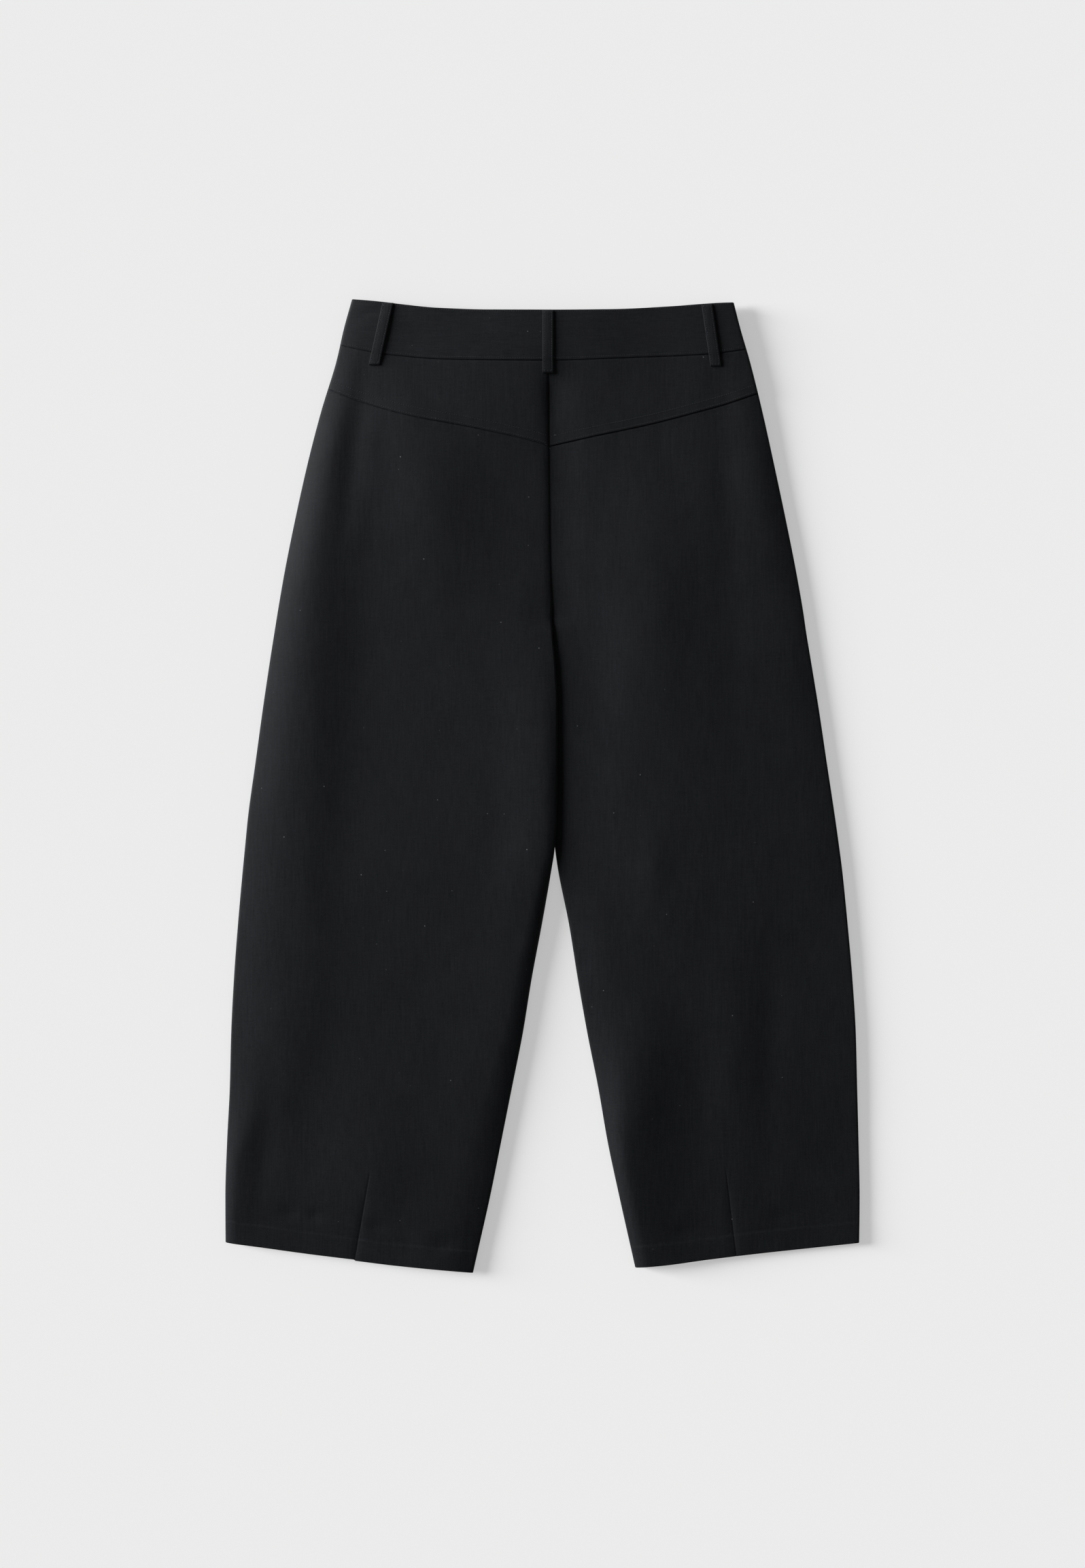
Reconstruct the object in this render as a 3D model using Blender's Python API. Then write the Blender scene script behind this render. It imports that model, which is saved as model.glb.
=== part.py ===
"""Barrel leg trousers, laid flat on their front with the back uppermost.

Metres, +Z up. +Y runs from the hems to the waist, and +X to the wearer's right.
The origin lies on the surface below the middle of the outline. A drop is a
distance down from the highest corner of the waist, as a tailor measures it.
"""

from bisect import bisect
from collections import namedtuple
from math import cos, exp, hypot, pi, radians, sin

import bmesh
import bpy

# Driving sizes of the garment
LENGTH = 0.9224
CROTCH_DROP = 0.2961
SPLIT_DROP = 0.3154
PARTING_DROP = 0.5218
APART_DROP = 0.5850
SEAM_GAP = 0.0003
CLOTH = 0.0014
BAND_CLOTH = 0.0020

# How the cloth lies
FRONT_REACH = 0.0063
FRONT_EASE = 0.0006
FOLD_HEIGHT = 0.0032
FOLD_TURN = 0.0026
FOLD_RUN_SHARE = 0.14
TURN_RISE = 0.0030
ROLL_POWER = 2.2
SIDE_ROLL = 0.038
INNER_ROLL = 0.030
INNER_CREST = 0.0010

# Where the left leg lies over the edge of the right leg
OVERLAP_FOLD_TURN = 0.0019
UNDER_FOLD = 0.0021
UNDER_TOP = 0.0042
OVER_LOW = 0.0048
OVER_FOLD = 0.0069
OVER_TOP = 0.0090
UNDER_SHELF = 0.011
UNDER_SLOPE = 0.045
OVER_SHELF = 0.012
OVER_SLOPE = 0.018
OVER_TOP_SLOPE = 0.050

# Waist, fly and belt loops
FRONT_WAIST_DIP = 0.020
FRONT_WAIST_INSET = 0.0015
FRONT_HEM_INSET = 0.0012
WAIST_HALF_WIDTH = 0.185
BAND_STEP = 0.0005
LOOP_WIDTH = 0.0103
LOOP_CLOTH = 0.0012
LOOP_STAND = 0.0007
LOOP_HANG = 0.0125
LOOP_INSET = 0.0006
BAND_LIFT = SEAM_GAP + LOOP_CLOTH + LOOP_STAND
FRONT_LOOP_X = 0.088
FRONT_LOOP_SPREAD = 1.06
FLY_TOP = 0.003
FLY_LENGTH = 0.165
ZIP_WIDTH = 0.024
ZIP_CLOTH = 0.0008
SHIELD_WIDTH = 0.040
SHIELD_CLOTH = 0.0010
HOOK_WIDTH = 0.014
HOOK_HEIGHT = 0.009
HOOK_METAL = 0.0006

# The darts that draw in each back hem
DART_LENGTH = 0.085
DART_DEPTH = 0.0006
DART_HALF_WIDTH = 0.0035
DART_EDGE = 0.0050

CLOTH_COLOUR = (0.011, 0.0115, 0.0125, 1.0)
BAND_COLOUR = (0.012, 0.0125, 0.0135, 1.0)
ZIP_COLOUR = (0.02, 0.02, 0.022, 1.0)
STEEL_COLOUR = (0.45, 0.45, 0.46, 1.0)
CLOTH_ROUGHNESS = 0.85
SHARP_ANGLE = radians(50)

# Each section gives where the side folds and the inner edges lie across the garment
Section = namedtuple("Section", "drop left_side left_inner right_inner right_side")
SECTIONS = (
    Section(0.0000, -0.1806, 0.0055, 0.0055, 0.1806),
    Section(0.0277, -0.1883, 0.0055, 0.0055, 0.1877),
    Section(0.0587, -0.1954, 0.0055, 0.0055, 0.1967),
    Section(0.1051, -0.2096, 0.0058, 0.0058, 0.2083),
    Section(0.1542, -0.2225, 0.0063, 0.0063, 0.2193),
    Section(0.2058, -0.2341, 0.0070, 0.0070, 0.2303),
    Section(0.2574, -0.2445, 0.0079, 0.0079, 0.2406),
    Section(0.2961, -0.2512, 0.0088, 0.0088, 0.2474),
    Section(0.3154, -0.2543, 0.0093, 0.0093, 0.2502),
    Section(0.3400, -0.2582, 0.0118, 0.0070, 0.2543),
    Section(0.3864, -0.2651, 0.0142, 0.0042, 0.2619),
    Section(0.4380, -0.2722, 0.0142, 0.0042, 0.2696),
    Section(0.4896, -0.2793, 0.0135, 0.0082, 0.2774),
    Section(0.5218, -0.2825, 0.0114, 0.0120, 0.2819),
    Section(0.5412, -0.2844, 0.0084, 0.0148, 0.2844),
    Section(0.5928, -0.2890, -0.0006, 0.0252, 0.2896),
    Section(0.6444, -0.2928, -0.0103, 0.0335, 0.2941),
    Section(0.6960, -0.2954, -0.0187, 0.0426, 0.2973),
    Section(0.7476, -0.2967, -0.0290, 0.0529, 0.2986),
    Section(0.7992, -0.2993, -0.0393, 0.0619, 0.2999),
    Section(0.8508, -0.3009, -0.0497, 0.0729, 0.3009),
    Section(0.9024, -0.3006, -0.0613, 0.0845, 0.3003),
    Section(0.9224, -0.3003, -0.0658, 0.0890, 0.2998),
)

# Each edge or seam runs across the garment through a few places
Place = namedtuple("Place", "x drop")
WAIST_EDGE = (
    Place(-0.1806, 0.0000), Place(-0.1535, 0.0026), Place(-0.1277, 0.0058),
    Place(-0.1019, 0.0084), Place(-0.0503, 0.0102), Place(0.0055, 0.0103),
    Place(0.0658, 0.0097), Place(0.1174, 0.0071), Place(0.1690, 0.0034),
    Place(0.1806, 0.0030),
)
BAND_SEAM = (
    Place(-0.1916, 0.0439), Place(-0.1645, 0.0497), Place(-0.1393, 0.0535),
    Place(-0.0929, 0.0572), Place(-0.0039, 0.0581), Place(0.0871, 0.0552),
    Place(0.1580, 0.0519), Place(0.1941, 0.0471),
)
LEFT_YOKE_SEAM = (
    Place(-0.2032, 0.0851), Place(-0.1687, 0.0984), Place(-0.1258, 0.1105),
    Place(-0.0651, 0.1219), Place(-0.0041, 0.1354), Place(0.0070, 0.1390),
)
RIGHT_YOKE_SEAM = (
    Place(0.0070, 0.1390), Place(0.0458, 0.1303), Place(0.1036, 0.1180),
    Place(0.1445, 0.1074), Place(0.1742, 0.0991), Place(0.2038, 0.0890),
)
LEFT_HEM = (
    Place(-0.3000, 0.8946), Place(-0.2657, 0.8992), Place(-0.2244, 0.9049),
    Place(-0.1780, 0.9106), Place(-0.1393, 0.9153), Place(-0.0658, 0.9224),
)
RIGHT_HEM = (
    Place(0.0884, 0.9178), Place(0.1174, 0.9153), Place(0.1574, 0.9101),
    Place(0.2019, 0.9049), Place(0.2503, 0.8998), Place(0.2998, 0.8946),
)

# Where each dart meets the hem, and the point that it is sewn up to
Dart = namedtuple("Dart", "hem_x point_x")
LEFT_DART = Dart(-0.1780, -0.1632)
RIGHT_DART = Dart(0.1838, 0.1735)

# The belt loops of the back, from the waist down
Loop = namedtuple("Loop", "name top_x bottom_x")
BACK_LOOPS = (
    Loop("centre", 0.0052, 0.0052),
    Loop("left", -0.1463, -0.1594),
    Loop("right", 0.1555, 0.1642),
)

# How high the middle of the back lies, and how far its rolled sides rise above that
Loft = namedtuple("Loft", "drop middle crest")
LOFTS = (
    Loft(0.00, 0.0085, 0.0000),
    Loft(0.06, 0.0085, 0.0002),
    Loft(0.14, 0.0082, 0.0010),
    Loft(0.24, 0.0074, 0.0020),
    Loft(0.34, 0.0064, 0.0026),
    Loft(0.45, 0.0061, 0.0028),
    Loft(0.70, 0.0061, 0.0026),
    Loft(0.85, 0.0060, 0.0018),
    Loft(0.93, 0.0059, 0.0012),
)
CREST_DISTANCE = 0.038
CREST_WIDTH = 0.021

# Broad soft folds: a ridge has a height above zero, and a trough below
Fold = namedtuple("Fold", "x drop length width lean height")
FOLDS = (
    Fold(-0.1825, 0.199, 0.075, 0.014, 10, -0.0012),
    Fold(-0.0920, 0.200, 0.090, 0.040, 4, 0.0014),
    Fold(0.0075, 0.225, 0.070, 0.018, 0, -0.0014),
    Fold(0.0850, 0.330, 0.080, 0.030, -6, 0.0013),
    Fold(0.1400, 0.345, 0.060, 0.020, -10, -0.0008),
    Fold(0.1380, 0.748, 0.110, 0.020, 2, -0.0010),
    Fold(0.1900, 0.735, 0.110, 0.016, 0, 0.0010),
    Fold(0.2130, 0.735, 0.100, 0.009, 0, -0.0006),
    Fold(-0.1920, 0.795, 0.055, 0.022, 0, 0.0010),
    Fold(-0.2650, 0.812, 0.045, 0.010, 0, -0.0007),
)

# The grids: shares of a leg's length with the rows up to each, and columns in from an edge
LEG_ROWS = ((0.2005, 4), (0.2252, 1), (0.26, 1), (0.48, 4), (0.57, 3), (0.88, 6), (1.0, 3))
FRONT_ROWS = ((0.2587, 5), (0.2815, 1), (0.31, 1), (0.52, 3), (0.60, 3), (1.0, 5))
TURN_ANGLES = (0, 32, 62, 90)
FLAT_STEP = 0.0012
BACK_COLUMNS = (0.007, 0.015, 0.026, 0.038, 0.052, 0.070)
INNER_COLUMNS = (0.008, 0.017, 0.030, 0.046)
FRONT_COLUMNS = (0.012, 0.028, 0.050)
BESIDE_DART = 2
FRONT_MIDDLE = 3
BAND_MIDDLE = 12
YOKE_ROWS = 4
BAND_ROWS = 3
LOOP_ROWS = 8
ZIP_ROWS = 6
SHIELD_ROWS = 12
HOOK_ROWS = 2
MEETING_STEPS = 8

Half = namedtuple("Half", "name side inner away yoke_seam hem dart")


def tangents(xs, ys):
    """Slopes that keep a curve between the points that it runs through."""
    steps = [(b - a) / (v - u) for u, v, a, b in zip(xs, xs[1:], ys, ys[1:])]
    inner = [2 * p * q / (p + q) if p * q > 0 else 0.0 for p, q in zip(steps, steps[1:])]
    return [steps[0], *inner, steps[-1]]


def curve(table, across, upward):
    """A smooth function through two named columns of a table, level past its ends."""
    xs = [getattr(row, across) for row in table]
    ys = [getattr(row, upward) for row in table]
    slopes = tangents(xs, ys)

    def value(at):
        x = min(max(at, xs[0]), xs[-1])
        i = min(bisect(xs, x), len(xs) - 1) - 1
        span = xs[i + 1] - xs[i]
        t = (x - xs[i]) / span
        start = ys[i] * (1 + 2 * t) * (1 - t) ** 2 + span * slopes[i] * t * (1 - t) ** 2
        end = ys[i + 1] * t * t * (3 - 2 * t) - span * slopes[i + 1] * t * t * (1 - t)
        return start + end

    return value


waist_edge = curve(WAIST_EDGE, "x", "drop")
band_seam = curve(BAND_SEAM, "x", "drop")
middle_height = curve(LOFTS, "drop", "middle")
crest_height = curve(LOFTS, "drop", "crest")
left_side = curve(SECTIONS, "drop", "left_side")
right_side = curve(SECTIONS, "drop", "right_side")
left_inner = curve(SECTIONS, "drop", "left_inner")
right_inner = curve(SECTIONS, "drop", "right_inner")
LEFT = Half("left", left_side, left_inner, -1,
            curve(LEFT_YOKE_SEAM, "x", "drop"), curve(LEFT_HEM, "x", "drop"), LEFT_DART)
RIGHT = Half("right", right_side, right_inner, 1,
             curve(RIGHT_YOKE_SEAM, "x", "drop"), curve(RIGHT_HEM, "x", "drop"), RIGHT_DART)


def between(start, end, share):
    return start + (end - start) * share


def ramp(value, start, end):
    """0 before start and 1 past end, with a soft beginning and end."""
    t = min(max((value - start) / (end - start), 0.0), 1.0)
    return t * t * (3 - 2 * t)


def from_side(half, x, drop):
    return half.away * (half.side(drop) - x)


def from_inner(half, x, drop):
    return half.away * (x - half.inner(drop))


def overlap(drop):
    """1 where the left leg lies over the right one, and 0 where it doesn't."""
    return ramp(drop, CROTCH_DROP, SPLIT_DROP) - ramp(drop, PARTING_DROP, APART_DROP)


def closed(drop):
    """0 where the halves are sewn together, and 1 where each leg has its own inner fold."""
    return ramp(drop, CROTCH_DROP, SPLIT_DROP)


def band_lift(drop):
    """The front loops hold the front waistband a little off the surface."""
    return BAND_LIFT * (1 - ramp(drop, 0.050, 0.200))


def fold_relief(x, drop):
    total = 0.0
    for fold in FOLDS:
        lean = radians(fold.lean)
        right, down = x - fold.x, drop - fold.drop
        along = (down * cos(lean) - right * sin(lean)) / fold.length
        across = (right * cos(lean) + down * sin(lean)) / fold.width
        total += fold.height * exp(-along * along - across * across)
    return total


def dart_line(half, drop):
    """Where the dart lies across the leg, or above its point where it would carry on."""
    hem = half.hem(half.dart.hem_x)
    point = hem - DART_LENGTH
    if drop >= point:
        return between(half.dart.hem_x, half.dart.point_x, (hem - drop) / DART_LENGTH)
    side, inner = half.side(point), half.inner(point)
    share = (half.dart.point_x - side) / (inner - side)
    return between(half.side(drop), half.inner(drop), share)


def dart_relief(half, x, drop):
    """The groove of the dart, deepest at the hem."""
    point = half.hem(half.dart.hem_x) - DART_LENGTH
    depth = DART_DEPTH * ramp(drop, point, point + DART_LENGTH / 2)
    return -depth * exp(-((x - dart_line(half, drop)) / DART_HALF_WIDTH) ** 2)


def resting_top(half, x, drop):
    """Height of the back's outer face away from its folded edges."""
    side = from_side(half, x, drop)
    inner = from_inner(half, x, drop)
    crest = crest_height(drop) * exp(-((side - CREST_DISTANCE) / CREST_WIDTH) ** 2)
    inner_crest = closed(drop) * INNER_CREST * exp(-((inner - INNER_ROLL) / CREST_WIDTH) ** 2)
    top = middle_height(drop) + crest + inner_crest + fold_relief(x, drop)
    top += dart_relief(half, x, drop)
    if half is LEFT:
        raised = overlap(drop) * (1 - ramp(inner, OVER_SHELF, OVER_SHELF + OVER_TOP_SLOPE))
        return between(top, OVER_TOP, raised)
    slope = UNDER_TOP + (top - UNDER_TOP) * ramp(inner, UNDER_SHELF, UNDER_SHELF + UNDER_SLOPE)
    return between(top, slope, overlap(drop))


def inner_fold(half, drop):
    flat = OVER_FOLD if half is LEFT else UNDER_FOLD
    return between(FOLD_HEIGHT, flat, overlap(drop))


def rolled(target, fold, distance, climb, roll):
    """The back's height near a folded edge: a tight turn, and then a gentle rise."""
    turn = min(TURN_RISE, target - fold)
    rise = 1 - (1 - min(distance / roll, 1.0)) ** ROLL_POWER
    return fold + climb * turn + (target - fold - turn) * rise


def back_height(half, x, drop, climb=1.0):
    """Height of the back's outer face. Climb runs from 0 on an edge's seam to 1 past its turn."""
    target = resting_top(half, x, drop)
    side = from_side(half, x, drop)
    inner = from_inner(half, x, drop)
    if side < inner:
        fold = band_lift(drop) + FOLD_HEIGHT + SEAM_GAP / 2
        return rolled(target, fold, max(side, 0.0), climb, SIDE_ROLL)
    fold = inner_fold(half, drop) + SEAM_GAP / 2
    edge = rolled(target, fold, max(inner, 0.0), climb, INNER_ROLL)
    return between(target, edge, closed(drop))


def front_height(half, x, drop, climb=1.0):
    """Height of the front's outer face, which lies on the surface or just under the back."""
    side = from_side(half, x, drop)
    inner = from_inner(half, x, drop)
    above = max(back_height(half, x, drop) - FRONT_REACH - band_lift(drop), 0.0)
    eased = above * above / (2 * FRONT_EASE) if above < FRONT_EASE else above - FRONT_EASE / 2
    low = band_lift(drop) + eased
    if half is LEFT:
        carried = overlap(drop) * (1 - ramp(inner, OVER_SHELF, OVER_SHELF + OVER_SLOPE))
        low = between(low, OVER_LOW, carried)
    if side < inner:
        fold = band_lift(drop) + FOLD_HEIGHT - SEAM_GAP / 2
        return fold - climb * (fold - low)
    fold = inner_fold(half, drop) - SEAM_GAP / 2
    return between(low, fold - climb * (fold - low), closed(drop))


def turn_columns(radius, fully):
    """Distance and climb of the columns round a folded edge, spread flat where it is sewn."""
    angles = [radians(angle) for angle in TURN_ANGLES]
    climbs = [0.0] + [FOLD_RUN_SHARE + (1 - FOLD_RUN_SHARE) * sin(angle) for angle in angles]
    distances = [0.0] + [radius * (1 - cos(angle)) for angle in angles]
    return [
        (between(index * FLAT_STEP, distance, fully), climb)
        for index, (distance, climb) in enumerate(zip(distances, climbs))
    ]


def spread(stretches):
    """Shares of a length, evenly spaced within each stretch."""
    shares = [0.0]
    for end, count in stretches:
        start = shares[-1]
        shares += [between(start, end, (step + 1) / count) for step in range(count)]
    return shares


def evenly(count):
    return spread(((1.0, count),))


def meeting(edge, upper, lower, share):
    """How far down a row meets an edge that itself slopes."""
    drop = between(upper(edge(0.0)), lower(edge(0.0)), share)
    for _ in range(MEETING_STEPS):
        drop = between(upper(edge(drop)), lower(edge(drop)), share)
    return drop


def inside(start, end, count):
    """Places evenly spaced between two others, without them."""
    return [between(start, end, (step + 1) / (count + 1)) for step in range(count)]


def columns_across(start, end, first, last, middle):
    """(x, climb) from one edge to the other. Middle gives the columns between its two ends."""
    way = 1 if end > start else -1
    near = [(start + way * distance, climb) for distance, climb in first]
    far = [(end - way * distance, climb) for distance, climb in reversed(last)]
    return near + [(x, 1.0) for x in middle(near[-1][0], far[0][0])] + far


def dart_columns(half, drop):
    """Columns that follow the dart up the leg, with a few on each side of it."""
    line = dart_line(half, drop)
    before, after = line + half.away * DART_EDGE, line - half.away * DART_EDGE

    def middle(start, end):
        outer = inside(start, before, BESIDE_DART)
        return [*outer, before, line, after, *inside(after, end, BESIDE_DART)]

    return middle


def even_columns(count):
    return lambda start, end: inside(start, end, count)


def half_grid(half, upper, lower, rows, side_columns, inner_columns, darted, height):
    """Points of one half's panel between two edges that run across it."""
    grid = []
    for share in rows:
        outer_drop = meeting(half.side, upper, lower, share)
        inner_drop = meeting(half.inner, upper, lower, share)
        radius = between(FOLD_TURN, OVERLAP_FOLD_TURN, overlap(inner_drop))
        first = turn_columns(FOLD_TURN, 1.0) + [(distance, 1.0) for distance in side_columns]
        last = turn_columns(radius, closed(inner_drop))
        last += [(distance, 1.0) for distance in inner_columns]
        inner_x = half.inner(inner_drop) + half.away * SEAM_GAP / 2
        middle = even_columns(FRONT_MIDDLE)
        if darted:
            middle = dart_columns(half, (outer_drop + inner_drop) / 2)
        line = columns_across(half.side(outer_drop), inner_x, first, last, middle)
        row = []
        for x, climb in line:
            drop = between(upper(x), lower(x), share)
            row.append((x, LENGTH / 2 - drop, height(half, x, drop, climb)))
        grid.append(row)
    return grid


def material(name, colour, roughness, metallic=0.0):
    finish = bpy.data.materials.new(name)
    finish.use_nodes = True
    shader = finish.node_tree.nodes["Principled BSDF"]
    shader.inputs["Base Color"].default_value = colour
    shader.inputs["Roughness"].default_value = roughness
    shader.inputs["Metallic"].default_value = metallic
    return finish


def inner_row(row, thickness, outward):
    """The row moved in by the wall's thickness, square to its own section of the garment."""
    way = outward if row[-1][0] > row[0][0] else -outward
    normals = []
    for (x0, _, z0), (x1, _, z1) in zip(row, row[1:]):
        length = hypot(x1 - x0, z1 - z0)
        normals.append((way * (z0 - z1) / length, way * (x1 - x0) / length))
    moved = []
    for (x, y, z), before, after in zip(row, normals[:1] + normals, normals + normals[-1:]):
        across, up = before[0] + after[0], before[1] + after[1]
        length = hypot(across, up)
        moved.append((x - thickness * across / length, y, z - thickness * up / length))
    return moved


def wall(collection, name, grid, thickness, outward, colour=CLOTH_COLOUR, metallic=0.0):
    """A wall of cloth lofted through sections, each a row of outer points and the row inside it."""
    sections = [row + inner_row(row, thickness, outward)[::-1] for row in grid]
    around = len(sections[0])
    mesh = bmesh.new()
    rings = [[mesh.verts.new(point) for point in section] for section in sections]
    for ring, following in zip(rings, rings[1:]):
        for i in range(around):
            j = (i + 1) % around
            mesh.faces.new((ring[i], ring[j], following[j], following[i]))
    for ring in (rings[0], rings[-1]):
        for i in range(around // 2 - 1):
            mesh.faces.new((ring[i], ring[i + 1], ring[around - 2 - i], ring[around - 1 - i]))
    bmesh.ops.recalc_face_normals(mesh, faces=mesh.faces)
    data = bpy.data.meshes.new(name)
    mesh.to_mesh(data)
    mesh.free()
    data.shade_smooth()
    data.set_sharp_from_angle(angle=SHARP_ANGLE)
    data.materials.append(material(name + "_finish", colour, CLOTH_ROUGHNESS, metallic))
    piece = bpy.data.objects.new(name, data)
    collection.objects.link(piece)
    return piece


def seam_side(edge, way):
    """An edge moved half of the seam gap up or down the garment."""
    return lambda x: edge(x) + way * SEAM_GAP / 2


def front_waist(x):
    """The front waist dips to its centre, so the back hides it from above."""
    share = min(abs(x) / WAIST_HALF_WIDTH, 1.0)
    return waist_edge(x) + FRONT_WAIST_INSET + FRONT_WAIST_DIP * (1 - share * share)


def front_seam(x):
    share = min(abs(x) / WAIST_HALF_WIDTH, 1.0)
    return band_seam(x) + FRONT_WAIST_DIP * (1 - share * share)


def short_hem(half):
    """The front hem lies just inside the back hem."""
    return lambda x: half.hem(x) - FRONT_HEM_INSET


def back_legs(collection):
    for half in (LEFT, RIGHT):
        upper = seam_side(half.yoke_seam, 1)
        grid = half_grid(half, upper, half.hem, spread(LEG_ROWS), BACK_COLUMNS,
                         INNER_COLUMNS, True, back_height)
        wall(collection, f"back_leg_{half.name}", grid, CLOTH, 1)


def back_yokes(collection):
    for half in (LEFT, RIGHT):
        upper = seam_side(band_seam, 1)
        lower = seam_side(half.yoke_seam, -1)
        grid = half_grid(half, upper, lower, evenly(YOKE_ROWS), BACK_COLUMNS,
                         INNER_COLUMNS, True, back_height)
        wall(collection, f"back_yoke_{half.name}", grid, CLOTH, 1)


def half_at(x, drop):
    return LEFT if x < LEFT.inner(drop) else RIGHT


def band_top(x, drop, climb=1.0):
    return back_height(half_at(x, drop), x, drop, climb) + BAND_STEP * climb


def back_band_grid():
    upper, lower = waist_edge, seam_side(band_seam, -1)
    columns = turn_columns(FOLD_TURN, 1.0) + [(distance, 1.0) for distance in BACK_COLUMNS]
    middle = even_columns(BAND_MIDDLE)
    grid = []
    for share in evenly(BAND_ROWS):
        start = left_side(meeting(left_side, upper, lower, share))
        end = right_side(meeting(right_side, upper, lower, share))
        row = []
        for x, climb in columns_across(start, end, columns, columns, middle):
            drop = between(upper(x), lower(x), share)
            row.append((x, LENGTH / 2 - drop, band_top(x, drop, climb)))
        grid.append(row)
    return grid


def front_panels(collection):
    for half in (LEFT, RIGHT):
        upper = seam_side(front_seam, 1)
        grid = half_grid(half, upper, short_hem(half), spread(FRONT_ROWS), FRONT_COLUMNS,
                         FRONT_COLUMNS, False, front_height)
        wall(collection, f"front_leg_{half.name}", grid, CLOTH, -1)
        lower = seam_side(front_seam, -1)
        grid = half_grid(half, front_waist, lower, evenly(BAND_ROWS), FRONT_COLUMNS,
                         FRONT_COLUMNS, False, front_height)
        wall(collection, f"waistband_front_{half.name}", grid, BAND_CLOTH, -1, BAND_COLOUR)


def strip(collection, name, centre, width, rows, face, thickness, outward, colour, metallic=0.0):
    """A band of cloth that lies on a face: centre(share) gives its line, face(x, drop) its height."""
    grid = []
    for share in rows:
        x, drop, lift = centre(share)
        places = (x - width / 2, x, x + width / 2)
        grid.append([(place, LENGTH / 2 - drop, face(place, drop) + lift) for place in places])
    return wall(collection, name, grid, thickness, outward, colour, metallic)


def loop_line(top_x, bottom_x, upper, lower, sense):
    """The line of a belt loop, tacked down at both ends and free between them."""
    def centre(share):
        x = between(top_x, bottom_x, share)
        drop = between(upper(x) + LOOP_INSET, lower(x) + LOOP_HANG, share)
        stand = SEAM_GAP + LOOP_CLOTH + LOOP_STAND * sin(pi * share)
        return x, drop, sense * stand
    return centre


def lowest_front(x, drop):
    return front_height(half_at(x, drop), x, drop)


def belt_loops(collection):
    for loop in BACK_LOOPS:
        line = loop_line(loop.top_x, loop.bottom_x, waist_edge, band_seam, 1)
        strip(collection, f"belt_loop_{loop.name}", line, LOOP_WIDTH, evenly(LOOP_ROWS), band_top,
              LOOP_CLOTH, 1, BAND_COLOUR)
    for name, sense in (("left", -1), ("right", 1)):
        x = sense * FRONT_LOOP_X
        line = loop_line(x, x * FRONT_LOOP_SPREAD, front_waist, front_seam, -1)
        strip(collection, f"belt_loop_front_{name}", line, LOOP_WIDTH, evenly(LOOP_ROWS), lowest_front,
              LOOP_CLOTH, -1, BAND_COLOUR)


def fly_face(layers):
    """The inner face of a layer that lies on the front at the fly."""
    def face(x, drop):
        return lowest_front(x, drop) + layers(drop)
    return face


def on_leg(drop):
    return CLOTH + SEAM_GAP + ZIP_CLOTH


def on_band(drop):
    return BAND_CLOTH + SEAM_GAP + HOOK_METAL


def under_shield(drop):
    """The shield lies over the hook at the waistband, and over the zip below it."""
    seam = front_seam(LEFT.inner(drop))
    past = ramp(drop, seam, seam + LOOP_WIDTH)
    return between(on_band(drop), on_leg(drop), past) + SEAM_GAP + SHIELD_CLOTH


def fly_line(start, end):
    def centre(share):
        drop = between(start, end, share)
        return LEFT.inner(drop), drop, 0.0
    return centre


def fly(collection):
    """The zip, the shield behind it and the hook of the waistband, all between front and back."""
    centre = LEFT.inner(0.0)
    seam = front_seam(centre)
    waist = front_waist(centre)
    middle = (waist + seam) / 2
    strip(collection, "fly_zip", fly_line(seam + FLY_TOP, seam + FLY_LENGTH), ZIP_WIDTH,
          evenly(ZIP_ROWS), fly_face(on_leg), ZIP_CLOTH, 1, ZIP_COLOUR)
    strip(collection, "fly_shield", fly_line(waist + FLY_TOP, seam + FLY_LENGTH + FLY_TOP),
          SHIELD_WIDTH, evenly(SHIELD_ROWS), fly_face(under_shield), SHIELD_CLOTH, 1, CLOTH_COLOUR)
    hook = fly_line(middle - HOOK_HEIGHT / 2, middle + HOOK_HEIGHT / 2)
    strip(collection, "waist_hook", hook, HOOK_WIDTH, evenly(HOOK_ROWS), fly_face(on_band),
          HOOK_METAL, 1, STEEL_COLOUR, 1.0)


def main():
    for item in list(bpy.data.objects):
        bpy.data.objects.remove(item)
    collection = bpy.data.collections.new("barrel_leg_trousers")
    bpy.context.scene.collection.children.link(collection)
    back_legs(collection)
    back_yokes(collection)
    wall(collection, "waistband_back", back_band_grid(), BAND_CLOTH, 1, BAND_COLOUR)
    front_panels(collection)
    belt_loops(collection)
    fly(collection)


main()
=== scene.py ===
"""Barrel leg trousers, laid flat on their front on a pale studio floor.

Metres, +Z up. +Y runs from the hems to the waist, and +X to the wearer's right.
A drop is a distance down from the highest corner of the waist, as a tailor measures it.
"""

from collections import namedtuple
from math import pi, radians

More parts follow.
